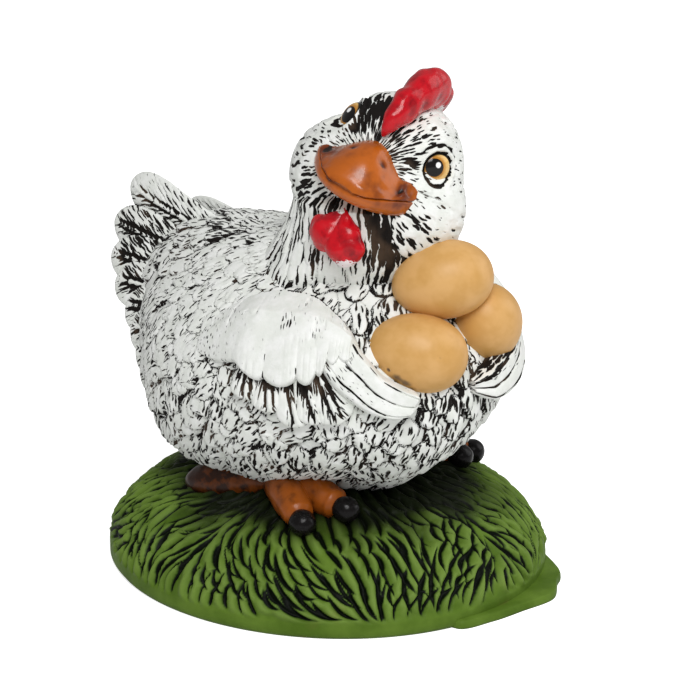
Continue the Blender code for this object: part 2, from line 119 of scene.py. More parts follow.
# Tail
TAIL_FEATHER_WIDTH = 14.5
TAIL_FEATHER_THICKNESS = 3.4
TAIL_TWIST = 0.28
TAIL_TIPS = [
    (-8, 77.1, 95.9), (-13, 78.8, 85.4), (-18, 74.1, 77.3), (-22, 67.2, 71.3),
    (-26, 57.4, 66.4), (-29, 51.3, 62.1), (-32, 45.3, 57.5), (-34, 41.0, 53.5),
]
TAIL_ROOTS = [
    (-5, 36, 86), (-9, 38, 80), (-13, 38, 75), (-17, 36, 71),
    (-21, 33, 67), (-24, 29, 63), (-27, 25, 59), (-30, 20, 55),
]
LEFT_TAIL_DROP = np.array([0.0, -6.0, -11.0])

# Wings, with edges as (bearing from straight ahead, height angle) seen from the body's centre
WING_THICKNESS = 4.6
WING_SINK = 4.0
COVERTS_TOP = [
    (94, 20), (84, 31), (73, 37.5), (60, 40), (50, 39), (43, 36.5), (37, 31), (33, 26), (30.5, 21),
]
COVERTS_EDGE = [
    (92, 12), (80, 11), (69, 12.5), (60, 9), (51, 9.5), (44, 11), (40, 15.5), (36, 16.5), (31, 18.5),
]
RIGHT_HAND = (
    [(34, 28), (30.6, 20), (28.3, 16.4), (24.8, 12), (20, 9), (17, 7.2), (15.8, 5)],
    [(42, 14), (38.5, 9), (35, 6), (31, 3), (26, 0.8), (20.5, 0.9), (16.6, 3)],
)
LEFT_HAND = (
    [(34, 28), (30, 22), (25, 17.5), (18, 14.5), (11, 12), (4.5, 9.5), (0.5, 7)],
    [(42, 14), (38, 9), (33, 5.5), (26, 2.5), (17, 0.5), (7, 0.6), (0.8, 3.5)],
)
SECONDARIES = [
    (43, 14, 36.3, -1.0), (47, 13.5, 42, -1.6), (52, 13, 48, -3.4), (58, 13, 56.8, 0.2),
    (65, 14, 65, 3.0),
]
SECONDARY_WIDTH = 11.0
SECONDARY_THICKNESS = 4.4
COVERT_BLOTS = [((-42, -16, 84), 2.6, -0.95), ((-38, -26, 84), 2.6, -0.95), ((-34, -33, 79), 2.4, -0.8)]

# Neck and head
NECK_RADIUS = 22.3
NECK_FLARE = 7.0
NECK_LINE = [(-3.4, -25.8, 117), (-2.4, -22.8, 106), (-1, -17.5, 96), (0, -12, 87)]
HACKLE_WIDTH = 5.6
HACKLE_LENGTH = 17.0
HACKLE_RISE = 1.1
HACKLES_ROUND = 30
HACKLE_STARTS = (-0.25, -0.05, 0.14, 0.33, 0.5)
NECK_COVER = 0.62
NECK_FRONT_TURN = 0.72
NECK_SWING = 0.08
NECK_BLOTS = [
    ((-16, -41, 110), 7, -0.65), ((-15, -42, 103), 7, -0.75), ((-13, -43, 95), 7, -0.75),
    ((2, -47, 100), 12, -0.6),
    ((-32, -12, 90), 5, -0.35), ((32, -12, 90), 5, -0.35),
    ((-24, -33, 94), 5, 0.22), ((-25, -31, 89), 5, 0.25), ((-20, -37, 92), 4, 0.20),
]
HEAD_CENTRE = np.array([0.0, -27.3, 120.4])
HEAD_RADIUS = 19.0
HEAD_LOBES = [
    ((0, 0, 0), (HEAD_RADIUS, HEAD_RADIUS, HEAD_RADIUS)),
    ((7, 0, -9), (18.5, 18, 17)), ((-7, 0, -9), (18.5, 18, 17)),
]
EYE_RADIUS = 4.4
EYE_PLACE = np.array([13.3, 8.0, 6.2])
BROWS = [
    ((0.60, 0.50, 0.70), 2.0, 0.28), ((-0.60, 0.50, 0.70), 1.0, 0.26), ((-0.88, 0.13, 0.45), -1.6, 0.26),
]
HEAD_DASHES = 1.5
EYE_FACING = (0.80, 0.58, 0.14)
EYE_THICKNESS = 2.6
HEAD_BLOTS = [
    ((-3, 14, 12), 6.5, -0.46), ((-8, 12, 13), 6, -0.36), ((-12, 12, 10), 5.5, -0.9),
    ((3, 17, 7), 3.5, -0.45), ((6, 17, 3), 3.5, -0.3),
    ((0, 12, -18), 10, -0.9), ((9, 17, -13), 6, -0.45), ((-14, 14, -8), 5, -0.15),
    ((16, 6, -6), 9, 0.25), ((10, 12, 14), 4, 0.2), ((-17, 6, -5), 6, 0.15),
]
PUPIL_SHIFT = (-1.5, 0.2)
# place and size of the painted highlight on each eye
GLINT_SHIFT = (0.5, 1.0)
GLINT_RADIUS = 1.5
BILL_REACH = 29.0
BILL_BACK = 8.0
BILL_RIDGE = 7.0
BILL_CORNER = 2.4
# half widths, roof and floor heights along the bill
BILL_UPPER = (
    (13, 15.6, 13.8, 10.4, 6.9, 3.2), (6, 6.4, 5.4, 1.8, -2.8, -5.6), (-2, -2.2, -3.2, -4.6, -6, -6.8),
)
BILL_LOWER = (
    (13.4, 15.8, 14.4, 11.2, 7.6, 3.6), (-2.6, -2.8, -3.8, -5.2, -6.6, -7.2),
    (-9, -10, -10.8, -10.6, -9.8, -8),
)
COMB_LINE = [(0, 19, 8), (0, 17.5, 13.5), (0, 12.5, 18.5), (0, 4, 22.5), (1, -4, 21.5), (2, -8.5, 17)]
COMB_THICKNESS = 9.6
COMB_HEIGHT = 12.0
COMB_NOTCHES = (0.42, 0.76)
WATTLE_RADIUS = 5.4
WATTLE_ROOT = (-22.5, -33.0, 113.0)
WATTLE_TIPS = [(-26.3, -27.5, 102.6), (-24.5, -35.5, 99.4)]

# Eggs: middle and long axis
EGG_LENGTH = 27.4
EGG_WIDTH = 20.9
EGGS = {
    "egg_top": ((-0.9, -48.0, 92.2), (0.77, -0.61, 0.20)),
    "egg_right": ((-11.5, -49.5, 74.7), (0.68, -0.70, -0.20)),
    "egg_left": ((13.5, -49.0, 77.0), (-0.45, -0.55, 0.70)),
}
EGG_MARKS = {
    "egg_right": [
        ((-20.7, -51.6, 70.3), 1.6, 0.9), ((-19.0, -53.4, 68.7), 1.5, 0.9), ((-22, -48, 69.5), 1.5, 0.6),
    ],
}
EGG_PITS = {
    "egg_right": [((-22.2, -49.7, 72.2), 0.55, 1.2), ((-13.7, -60.5, 76.3), 0.6, 0.35)],
    "egg_top": [((-1.5, -59.2, 95.1), 0.6, 0.35)],
}

# Feet
SHANK_RADIUS = 6.0
TOE_RADIUS = 4.8
TOE_THICKEST = 1.1
CLAW_RADIUS = 3.7
HEEL = (35.0, 20.0)
ANKLE = (24.0, -7.0)
RIGHT_TOES = [(33.0, -27.0), (22.0, -31.5)]
LEFT_TOES = [(40.5, -16.0), (30.0, -22.0)]
HEEL_RISE = 0.5
ANKLE_RISE = 1.5
KNUCKLE_RISE = 2.2
TOE_RISE = 2.6

# Camera
CAMERA_PLACE = (-494.76, -559.62, 303.61)
CAMERA_TARGET = (14.343, 5.802, 56.398)
FOCAL_PIXELS = 2792.0
FRAME_PIXELS = 700.0

# Stage, in metres and watts: a lamp has a place, a size and a power
FLOOR_REACH = 4.0
FLOOR_GAP = 0.0001
LAMPS = {"key": ((-0.55, -0.75, 1.0), 0.6, 12.0), "fill": ((0.9, -0.5, 0.6), 0.9, 4.0)}
LAMP_TARGET = (0.0, 0.0, 0.07)


# Small sums

def unit(a):
    """Vectors along the last axis, at length one."""
    return a / np.maximum(np.linalg.norm(a, axis=-1, keepdims=True), 1e-9)


HEAD_LEFT = unit(np.array([0.324, -0.850, -0.415]))
HEAD_UP = unit(np.array([0.362, -0.293, 0.885]))
HEAD_FRONT = np.cross(HEAD_LEFT, HEAD_UP)


def step(low, high, x):
    """A soft step from 0 at low to 1 at high: 3t² - 2t³."""
    t = np.clip((x - low) / (high - low), 0.0, 1.0)
    return t * t * (3.0 - 2.0 * t)


def curve_through(points, t):
    """Points at shares t on a smooth curve through the points (Catmull-Rom)."""
    knots = np.asarray(points, float)
    knots = np.vstack([2 * knots[0] - knots[1], knots, 2 * knots[-1] - knots[-2]])
    place = np.clip(np.asarray(t, float), 0.0, 1.0) * (len(knots) - 3)
    i = np.minimum(place.astype(int), len(knots) - 4)
    f = (place - i)[..., None]
    a, b, c, d = (knots[i + k] for k in range(4))
    bend = (2 * a - 5 * b + 4 * c - d) * f ** 2 + (3 * b - a - 3 * c + d) * f ** 3
    return 0.5 * (2 * b + (c - a) * f + bend)


def level(values, t):
    """Values at shares t on a smooth curve through plain numbers."""
    return curve_through([(value, 0.0) for value in values], t)[..., 0]


def reach(way, lobes, blend=14.0):
    """How far a blend of ellipsoids reaches from the origin along unit directions.

    Each lobe's exit distance is raised to a high power, summed, and the root taken.
    """
    total = 0.0
    for centre, radii in lobes:
        d, o = way / np.array(radii, float), -np.array(centre, float) / np.array(radii, float)
        a, b, c = (d * d).sum(-1), (d * o).sum(-1), (o * o).sum() - 1.0
        total = total + ((np.sqrt(b * b - a * c) - b) / a) ** blend
    return total ** (1.0 / blend)


def bell(x, width):
    """A soft hump, 1 at x = 0 and nearly gone at twice the width: exp(-(x/width)²)."""
    return np.exp(-(x / width) ** 2)


def ring_grid(columns, shares):
    """Full grids of u, from 0 to 1 round each ring, and of v, the share of each ring."""
    return np.meshgrid(np.arange(columns) / columns, shares)


def shares_between(rows):
    """Even shares of the way from one end point to the other, without the ends."""
    return np.linspace(0.0, 1.0, rows)[1:-1]


def bump(way, towards, height, spread):
    """A rounded rise on a star-shaped surface, tallest where way nears towards."""
    gap = np.linalg.norm(way - unit(np.array(towards, float)), axis=-1)
    return height * bell(gap, spread)


def lumps(places, size, seed=0):
    """Smooth random values from 0 to 1 over space: a lattice of random numbers, size apart."""
    lattice = np.random.default_rng(seed).random((16, 16, 16))
    scaled = np.asarray(places) / size + 100.0
    whole = np.floor(scaled).astype(int)
    part = scaled - whole
    part = part * part * (3.0 - 2.0 * part)
    total = 0.0
    for corner in np.ndindex(2, 2, 2):
        weight = np.prod(np.where(corner, part, 1.0 - part), axis=-1)
        total = total + weight * lattice[tuple(((whole + corner) % 16)[..., k] for k in range(3))]
    return total


def blur(values, rows, columns, wraps=True):
    """The mean of a grid's values over a window of that many cells, from running sums."""
    for axis, half in ((0, rows), (1, columns)):
        mode = "wrap" if axis and wraps else "edge"
        pad = [(half + 1, half) if k == axis else (0, 0) for k in range(2)]
        sums = np.cumsum(np.pad(values, pad, mode=mode), axis=axis)
        size = values.shape[axis]
        ahead = np.take(sums, range(2 * half + 1, 2 * half + 1 + size), axis=axis)
        values = (ahead - np.take(sums, range(size), axis=axis)) / (2 * half + 1)
    return values


def blots(places, spots):
    """The sum of soft round spots, each (centre, radius, amount): amount·exp(-(gap/radius)²)."""
    total = np.zeros(places.shape[:-1])
    for centre, radius, amount in spots:
        gap = np.linalg.norm(places - np.array(centre, float), axis=-1)
        total += amount * bell(gap, radius)
    return total


# Meshes

def closed_grid(name, grid, ends, slot, **attributes):
    """A closed piece from a grid of rings, with a point at each end, in the paint of its slot.

    grid[row, column] are places in millimetres, and columns close on themselves. Each
    attribute is a value or a vector for every grid point, and its mean goes to the ends.
    """
    rows, columns = grid.shape[:2]
    count = rows * columns
    index = np.arange(count).reshape(rows, columns)
    beside = np.roll(index, -1, axis=1)
    quads = np.stack([index[:-1], beside[:-1], beside[1:], index[1:]], -1).reshape(-1, 4)
    first = np.stack([np.full(columns, count), beside[0], index[0]], -1)
    last = np.stack([np.full(columns, count + 1), index[-1], beside[-1]], -1)
    fans = np.vstack([first, last])
    points = np.vstack([grid.reshape(-1, 3), ends[0], ends[1]]) * MM
    halves = np.vstack([quads[:, :3], quads[:, [0, 2, 3]], fans])
    a, b, c = (points[halves[:, k]] for k in range(3))
    if (a * np.cross(b, c)).sum() < 0.0:
        quads, fans = quads[:, ::-1], fans[:, ::-1]
    mesh = bpy.data.meshes.new(name)
    mesh.vertices.add(len(points))
    mesh.vertices.foreach_set("co", points.ravel())
    mesh.loops.add(quads.size + fans.size)
    mesh.loops.foreach_set("vertex_index", np.concatenate([quads.ravel(), fans.ravel()]))
    starts = np.concatenate([np.arange(len(quads)) * 4, quads.size + np.arange(len(fans)) * 3])
    mesh.polygons.add(len(starts))
    mesh.polygons.foreach_set("loop_start", starts)
    mesh.update(calc_edges=True)
    mesh.shade_smooth()
    for key, values in attributes.items():
        values = np.asarray(values, float)
        width = values.shape[2] if values.ndim == 3 else 1
        flat = values.reshape(-1, width)
        flat = np.vstack([flat, flat[:columns].mean(0), flat[-columns:].mean(0)])
        kind, field = ("FLOAT_VECTOR", "vector") if width == 3 else ("FLOAT", "value")
        mesh.attributes.new(key, kind, "POINT").data.foreach_set(field, flat.ravel())
    piece = bpy.data.objects.new(name, mesh)
    bpy.context.scene.collection.objects.link(piece)
    mesh.materials.append(PAINTS[slot])
    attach(piece, "root")
    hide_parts("hen_figurine")


def lay_tips(places, tips, rise, point, crown, window):
    """Overlapping tips laid over a surface: height, and strokes across and along each tip.

    A tip is a row of root, way, side, width, length and its share down the grid. Along it a runs
    from 0 to 1, and its outline narrows after a = 1 - point as a quarter circle. Its height is
    rise·a^0.8·(1 - crown·b²), with b from -1 to 1 across, and where tips overlap the highest
    counts. Only rows within window of the tip's share are looked at.
    """
    rows, columns = places.shape[:2]
    flat = places.reshape(-1, 3)
    height, stroke = np.zeros(len(flat)), np.zeros((len(flat), 3))
    for number, tip in enumerate(tips):
        root, way, side, width, length, share = tip[:3], tip[3:6], tip[6:9], tip[9], tip[10], tip[11]
        start = max(0, int((share - window) * rows)) * columns
        end = min(rows, int((share + window) * rows) + 1) * columns
        gap = flat[start:end] - (root + way * length / 2)
        near = np.flatnonzero((gap * gap).sum(-1) < (0.62 * length + 0.3 * width) ** 2)
        along = (gap[near] @ way) / length + 0.5
        sideways = gap[near] @ side
        near = near + start
        narrow = np.clip((along - 1.0 + point) / point, 0.0, 1.0)
        half = width / 2 * np.sqrt(1.0 - narrow ** 2) * step(-0.15, 0.35, along)
        b = sideways / np.maximum(half, 1e-6)
        inside = (along > 0.0) & (along < 1.0) & (np.abs(b) < 1.0)
        lift = rise * along.clip(0, 1) ** 0.8 * (1.0 - crown * b ** 2) * step(1.0, 0.84, np.abs(b))
        better = inside & (lift > height[near])
        chosen = near[better]
        height[chosen] = lift[better]
        fan = b[better] * width / 2 * (0.55 + 0.45 * np.sqrt(1.0 - narrow[better] ** 2))
        stroke[chosen] = np.stack([fan, along[better] * length, np.full(len(chosen), number % 5)], -1)
    return height.reshape(rows, columns), stroke.reshape(rows, columns, 3)


def scratches(stroke, wide, long, seed=3):
    """Carved dashes from 0 to 1: random values stretched along the strokes, cut off softly."""
    coarse = lumps(stroke / np.array([wide, long, 1.0]), 1.0, seed)
    return step(0.56, 0.74, coarse)


# Materials

def new_material(name, roughness, coat=0.0, specular=0.5):
    """A Principled material: its nodes, links and shader."""
    material = bpy.data.materials.new(name)
    material.use_nodes = True
    tree = material.node_tree
    shader = tree.nodes["Principled BSDF"]
    shader.inputs["Roughness"].default_value = roughness
    shader.inputs["Coat Weight"].default_value = coat
    shader.inputs["Coat Roughness"].default_value = 0.12
    shader.inputs["Specular IOR Level"].default_value = specular
    return material, tree, shader


def add(tree, kind, settings=None, **values):
    """A node with its settings, and values or links for its inputs by name."""
    node = tree.nodes.new(kind)
    for key, value in (settings or {}).items():
        setattr(node, key, value)
    for key, value in values.items():
        socket = node.inputs[int(key[2:])] if key.startswith("i_") else node.inputs[key.replace("_", " ")]
        if isinstance(value, bpy.types.NodeSocket):
            tree.links.new(value, socket)
        else:
            socket.default_value = value
    return node


def figure(tree, operation, a, b=0.0, c=0.0):
    """One step of arithmetic on masks."""
    return add(tree, "ShaderNodeMath", {"operation": operation}, i_0=a, i_1=b, i_2=c).outputs[0]


def soft_cut(tree, value, low, high):
    """A mask that rises softly from 0 at low to 1 at high."""
    settings = {"interpolation_type": "SMOOTHSTEP"}
    return add(tree, "ShaderNodeMapRange", settings, i_0=value, i_1=low, i_2=high).outputs[0]


def blend_colours(tree, share, a, b):
    """A mix of two colours, each plain or linked, by a mask."""
    a, b = ((*colour, 1.0) if isinstance(colour, tuple) else colour for colour in (a, b))
    return add(tree, "ShaderNodeMix", {"data_type": "RGBA"}, i_0=share, i_6=a, i_7=b).outputs[2]


def from_mesh(tree, name, output="Fac"):
    """A value that the mesh carries at each of its points."""
    return add(tree, "ShaderNodeAttribute", {"attribute_name": name}).outputs[output]


def finish_paint(tree, shader, colour, height, strength, depth):
    """Gives a shader its colour, and a relief that is depth millimetres high where height is 1."""
    relief = add(tree, "ShaderNodeBump", Height=height, Strength=strength, Distance=depth * MM)
    tree.links.new(colour, shader.inputs["Base Color"])
    tree.links.new(relief.outputs["Normal"], shader.inputs["Normal"])


def grain(tree, where, scale, detail=2.0, roughness=0.55):
    """Noise values over the given coordinates."""
    node = add(tree, "ShaderNodeTexNoise", Vector=where, Scale=scale, Detail=detail, Roughness=roughness)
    return node.outputs["Fac"]


def group(name, inputs, outputs):
    """An empty node group with named sockets: V for a vector, and F for a plain number."""
    tree = bpy.data.node_groups.new(name, "ShaderNodeTree")
    kinds = {"F": "NodeSocketFloat", "V": "NodeSocketVector"}
    for key, kind in inputs.items():
        tree.interface.new_socket(name=key, in_out="INPUT", socket_type=kinds[kind])
    for key, kind in outputs.items():
        tree.interface.new_socket(name=key, in_out="OUTPUT", socket_type=kinds[kind])
    return tree, tree.nodes.new("NodeGroupInput").outputs, tree.nodes.new("NodeGroupOutput")


def dry_brush_group():
    """White dragged over dark: where the brush touched, from strokes, cover and hollows; the cover also
    carries painted shade.

    Dark dashes lie along the strokes, one to a cell of a scattered pattern that is shifted from
    feather to feather, and the more cover there is, the thinner and shorter each one is.
    """
    tree, given, out = group(
        "dry_brush", {"Stroke": "V", "Cover": "F", "Groove": "F", "Place": "V"},
        {"Paint": "F", "Height": "F", "Brown": "F"},
    )
    parts = add(tree, "ShaderNodeSeparateXYZ", Vector=given["Stroke"]).outputs
    feather = figure(tree, "ROUND", parts["Z"])
    wobble = figure(tree, "SUBTRACT", grain(tree, given["Place"], 330.0, 1.0), 0.5)
    across = figure(tree, "MULTIPLY_ADD", wobble, 1.6, parts["X"])
    across = figure(tree, "MULTIPLY_ADD", feather, 17.3, across)
    along = figure(tree, "MULTIPLY_ADD", feather, 8.7, parts["Y"])
    where = add(tree, "ShaderNodeCombineXYZ", X=across, Y=along).outputs[0]
    stretched = add(
        tree, "ShaderNodeVectorMath", {"operation": "MULTIPLY"}, i_0=where, i_1=(0.86, 0.17, 1.0)
    ).outputs[0]
    dash = add(
        tree, "ShaderNodeTexVoronoi", {"voronoi_dimensions": "2D"},
        Vector=stretched, Scale=1.0, Randomness=0.9,
    ).outputs["Distance"]
    speckle = grain(tree, given["Place"], 1300.0, 2.0, 0.6)
    patches = grain(tree, given["Place"], 100.0, 2.0, 0.5)
    value = figure(tree, "MULTIPLY_ADD", given["Cover"], 1.0, -0.5)
    value = figure(tree, "MULTIPLY_ADD", figure(tree, "SUBTRACT", dash, 0.30), 2.2, value)
    value = figure(tree, "MULTIPLY_ADD", figure(tree, "SUBTRACT", speckle, 0.5), 0.55, value)
    value = figure(tree, "MULTIPLY_ADD", figure(tree, "SUBTRACT", patches, 0.5), 1.1, value)
    value = figure(tree, "MULTIPLY_ADD", given["Groove"], -1.5, value)
    paint = soft_cut(tree, value, -0.08, 0.07)
    tree.links.new(paint, out.inputs["Paint"])
    tree.links.new(soft_cut(tree, value, -0.30, 0.22), out.inputs["Height"])
    tree.links.new(soft_cut(tree, patches, 0.48, 0.66), out.inputs["Brown"])
    return tree


def feather_material(dry_brush):
    """White feathers: umber and black in the grooves, and in painted shade, under dry-brushed white paint."""
    material, tree, shader = new_material("white_over_umber", 0.5, specular=0.15)
    place = add(tree, "ShaderNodeTexCoord").outputs["Object"]
    stroke = from_mesh(tree, "stroke", "Vector")
    cover = from_mesh(tree, "cover")
    groove = from_mesh(tree, "groove")
    brush = add(
        tree, "ShaderNodeGroup", {"node_tree": dry_brush},
        Stroke=stroke, Cover=cover, Groove=groove, Place=place,
    ).outputs
    umber = blend_colours(tree, brush["Brown"], (0.007, 0.005, 0.004), (0.056, 0.036, 0.023))
    tint = grain(tree, place, 260.0, 3.0)
    white = blend_colours(tree, soft_cut(tree, tint, 0.35, 0.7), (0.77, 0.79, 0.745), (0.86, 0.87, 0.845))
    colour = blend_colours(tree, brush["Paint"], umber, white)
    rough = add(tree, "ShaderNodeMapRange", i_0=brush["Paint"], i_3=0.70, i_4=0.55).outputs[0]
    tree.links.new(rough, shader.inputs["Roughness"])
    daubs = figure(tree, "MULTIPLY_ADD", grain(tree, place, 620.0, 2.0), 0.55, brush["Height"])
    finish_paint(tree, shader, colour, daubs, 0.8, 0.4)
    return material


def lacquer_material(name, deep, bright, roughness, coat, size, specular, flecked=False):
    """Glossy paint that pools darker in the hollows, with a soft unevenness size across; on the feet the same
    darkening also holds painted shade towards the ends.

    Where it is flecked, specks of white show through along the edge that the mesh marks.
    """
    material, tree, shader = new_material(name, roughness, coat, specular)
    place = add(tree, "ShaderNodeTexCoord").outputs["Object"]
    groove = from_mesh(tree, "groove")
    uneven = grain(tree, place, 1.0 / (size * MM), 3.0)
    share = figure(tree, "MULTIPLY_ADD", groove, -1.0, soft_cut(tree, uneven, 0.12, 0.58))
    colour = blend_colours(tree, figure(tree, "MAXIMUM", share, 0.0), deep, bright)
    colour = blend_colours(tree, soft_cut(tree, groove, 0.95, 1.3), colour, (0.012, 0.006, 0.004))
    if flecked:
        speck = figure(tree, "SUBTRACT", grain(tree, place, 800.0, 3.0), 0.5)
        edge = from_mesh(tree, "flecks")
        white = soft_cut(tree, figure(tree, "MULTIPLY_ADD", speck, 2.0, edge), 0.55, 0.65)
        colour = blend_colours(tree, white, colour, (0.80, 0.72, 0.72))
    finish_paint(tree, shader, colour, uneven, 0.35, 0.5)
    return material


def egg_material():
    """Buff egg paint, faintly mottled, with a brown stain and pin holes where marked."""
    material, tree, shader = new_material("buff_egg_paint", 0.42, specular=0.3)
    place = add(tree, "ShaderNodeTexCoord").outputs["Object"]
    mottle = soft_cut(tree, grain(tree, place, 120.0, 3.0), 0.35, 0.65)
    colour = blend_colours(tree, mottle, (0.590, 0.322, 0.094), (0.670, 0.385, 0.140))
    stain = from_mesh(tree, "groove")
    rough_edge = figure(tree, "MULTIPLY_ADD", grain(tree, place, 700.0, 3.0), 0.6, stain)
    colour = blend_colours(tree, soft_cut(tree, rough_edge, 0.55, 1.2), colour, (0.20, 0.12, 0.06))
    finish_paint(tree, shader, colour, grain(tree, place, 500.0, 3.0), 0.12, 0.3)
    return material


def eye_material():
    """Amber iris, black pupil and black rim, from the distances ring and rim on the eyeball, and a painted
    highlight from glint.
    """
    material, tree, shader = new_material("painted_eye", 0.14, 0.1, 0.25)
    ring = from_mesh(tree, "ring")
    rim = from_mesh(tree, "rim")
    glint = from_mesh(tree, "glint")
    place = add(tree, "ShaderNodeTexCoord").outputs["Object"]
    uneven = figure(tree, "MULTIPLY_ADD", grain(tree, place, 900.0, 2.0), 0.8, ring)
    iris = blend_colours(tree, soft_cut(tree, uneven, 2.9, 4.4), (0.46, 0.20, 0.03), (0.82, 0.52, 0.17))
    pupil = soft_cut(tree, ring, 2.35, 2.55)
    colour = blend_colours(tree, pupil, (0.006, 0.005, 0.005), iris)
    colour = blend_colours(tree, soft_cut(tree, rim, 0.84, 0.92), colour, (0.010, 0.009, 0.008))
    colour = blend_colours(tree, soft_cut(tree, glint, 0.4, 0.6), colour, (0.9, 0.9, 0.9))
    tree.links.new(colour, shader.inputs["Base Color"])
    return material


def grass_material():
    """Green paint on the blades, nearly black between them, with brown touches, paler crowns as painted
    highlight, and painted shade near the body.
    """
    material, tree, shader = new_material("grass_paint", 0.50, specular=0.07)
    place = add(tree, "ShaderNodeTexCoord").outputs["Object"]
    groove = from_mesh(tree, "groove")
    shade = from_mesh(tree, "cover")
    patches = soft_cut(tree, grain(tree, place, 75.0, 3.0), 0.35, 0.65)
    green = blend_colours(tree, patches, (0.070, 0.130, 0.012), (0.112, 0.190, 0.024))
    brown = soft_cut(tree, grain(tree, place, 60.0, 2.0), 0.66, 0.78)
    green = blend_colours(tree, figure(tree, "MULTIPLY", brown, 0.6), green, (0.20, 0.13, 0.05))
    # paler green on the blade crowns is a painted highlight
    crown = from_mesh(tree, "crown")
    green = blend_colours(tree, figure(tree, "MULTIPLY", crown, 0.55), green, (0.185, 0.280, 0.060))
    uneven = figure(tree, "MULTIPLY_ADD", grain(tree, place, 700.0, 2.0), 0.25, groove)
    green = blend_colours(tree, soft_cut(tree, uneven, 0.35, 0.75), green, (0.030, 0.060, 0.008))
    colour = blend_colours(tree, soft_cut(tree, uneven, 0.62, 0.82), green, (0.0015, 0.003, 0.001))
    # painted shade: the grass goes nearly black round the feet and under the body
    dim = figure(tree, "MULTIPLY", figure(tree, "SUBTRACT", 1.0, shade), 0.97)
    colour = blend_colours(tree, dim, colour, (0.003, 0.004, 0.002))
    finish_paint(tree, shader, colour, grain(tree, place, 420.0, 3.0), 0.25, 0.4)
    return material


PAINTS = {
    "white_feathers": feather_material(dry_brush_group()),
    "green_grass": grass_material(),
    "orange_bill": lacquer_material(
        "orange_lacquer", (0.13, 0.022, 0.003), (0.46, 0.105, 0.006), 0.28, 0.3, 6.0, 0.3
    ),
    "red_comb": lacquer_material(
        "red_lacquer", (0.24, 0.001, 0.006), (0.54, 0.004, 0.012), 0.24, 0.22, 2.5, 0.2, True
    ),
    "buff_eggs": egg_material(),
    "eyes": eye_material(),
    "orange_feet": lacquer_material(
        "foot_paint", (0.022, 0.006, 0.002), (0.30, 0.072, 0.006), 0.36, 0.1, 4.0, 0.2
    ),
    "black_claws": lacquer_material(
        "claw_lacquer", (0.002, 0.002, 0.002), (0.006, 0.005, 0.005), 0.22, 0.0, 2.0, 0.15
    ),
}


# Grass mound

def mound_height(x, y):
    """Height of the smooth mound over its footprint: a dome whose share falls to the rim."""
    share = np.minimum(1.0, np.hypot(x / BASE_HALF_WIDTH, y / BASE_HALF_LENGTH))
    rise = (1.0 - share ** MOUND_FULLNESS) ** (1.0 / MOUND_SHOULDER)
    return RIM_HEIGHT + (MOUND_HEIGHT - RIM_HEIGHT) * rise


def mound_fall(turn, fall):
    """The mound's surface at a turn, and evenly down its slope from 0 on top to 1 at the rim."""
    return mound_point(turn, np.sin(pi / 2 * np.minimum(fall, 1.0)))


def mound_point(turn, share):
    """The mound's surface at a turn and a share of the way out to the rim."""
    x, y = BASE_HALF_WIDTH * share * np.cos(turn), BASE_HALF_LENGTH * share * np.sin(turn)
    return np.stack([x, y, mound_height(x, y)], -1)


def carve_cuts(places, cuts):
    """Curved cuts in the grass: how deep, and how high the blades are crowned beside them.

    A cut is a row of middle, way, side, length, bend and width. With a from -1 to 1 along it
    and b sideways from its bent line, it is (1 - a^4)·exp(-(b/width)²) deep. The blade beside it,
    away from its bend, is (1 - a²)·exp(-((b + BLADE_GAP)/BLADE_WIDTH)²) high.
    """
    flat = places.reshape(-1, 3)
    depth, crown = np.zeros(len(flat)), np.zeros(len(flat))
    for cut in cuts:
        middle, way, side, length, bend, width = cut[:3], cut[3:6], cut[6:9], cut[9], cut[10], cut[11]
        gap = flat - middle
        near = np.flatnonzero((gap * gap).sum(-1) < (0.6 * length + 3.0) ** 2)
        a = gap[near] @ way / (length / 2)
        b = gap[near] @ side - bend * (a * a - 0.4 + 0.35 * a ** 3)
        inside = np.abs(a) < 1.0
        near, a, b = near[inside], a[inside], b[inside]
        tapered = width * (1.0 - 0.6 * a * a)
        depth[near] = np.maximum(depth[near], (1.0 - a ** 4) * bell(b, tapered))
        beside = np.sign(bend) * b + BLADE_GAP
        crown[near] = np.maximum(crown[near], (1.0 - a * a) * bell(beside, BLADE_WIDTH))
    return depth.reshape(places.shape[:-1]), crown.reshape(places.shape[:-1])


def grass_cuts():
    """Cuts in staggered rings, combed down the slope and curling together in locks."""
    rings = []
    for ring in range(CUT_ROWS):
        fall = CUTS_START + CUTS_SPAN * (ring + 0.5) / CUT_ROWS
        count = int(2 * pi * BASE_MEAN_RADIUS * np.sin(pi / 2 * fall) / CUT_PITCH)
        turn = (np.arange(count) + 0.5 * (ring % 2) + 0.4 * CHANCE.random(count)) / count * 2 * pi
        down = fall + 0.045 * (CHANCE.random(count) - 0.5)
        middle = mound_fall(turn, down)
        curl = LOCK_CURL * (lumps(middle, 19.0, 5) - 0.5)
        way = unit(mound_fall(turn + curl, down + 0.04) - mound_fall(turn - curl, down - 0.04))
        normal = unit(middle + np.array([0.0, 0.0, 10.0]))
        side = unit(np.cross(normal, way))
        length = CUT_LENGTH * (0.5 + 0.6 * CHANCE.random(count))
        sway = (5.0 * (lumps(middle, 22.0, 9) - 0.5)).clip(-1, 1)
        bend = CUT_BEND * sway * (0.85 + 0.3 * CHANCE.random(count))
        width = CUT_WIDTH * (0.5 + 0.8 * CHANCE.random(count))
        rings.append(np.column_stack([middle, way, side, length, bend, width]))
    return np.vstack(rings)


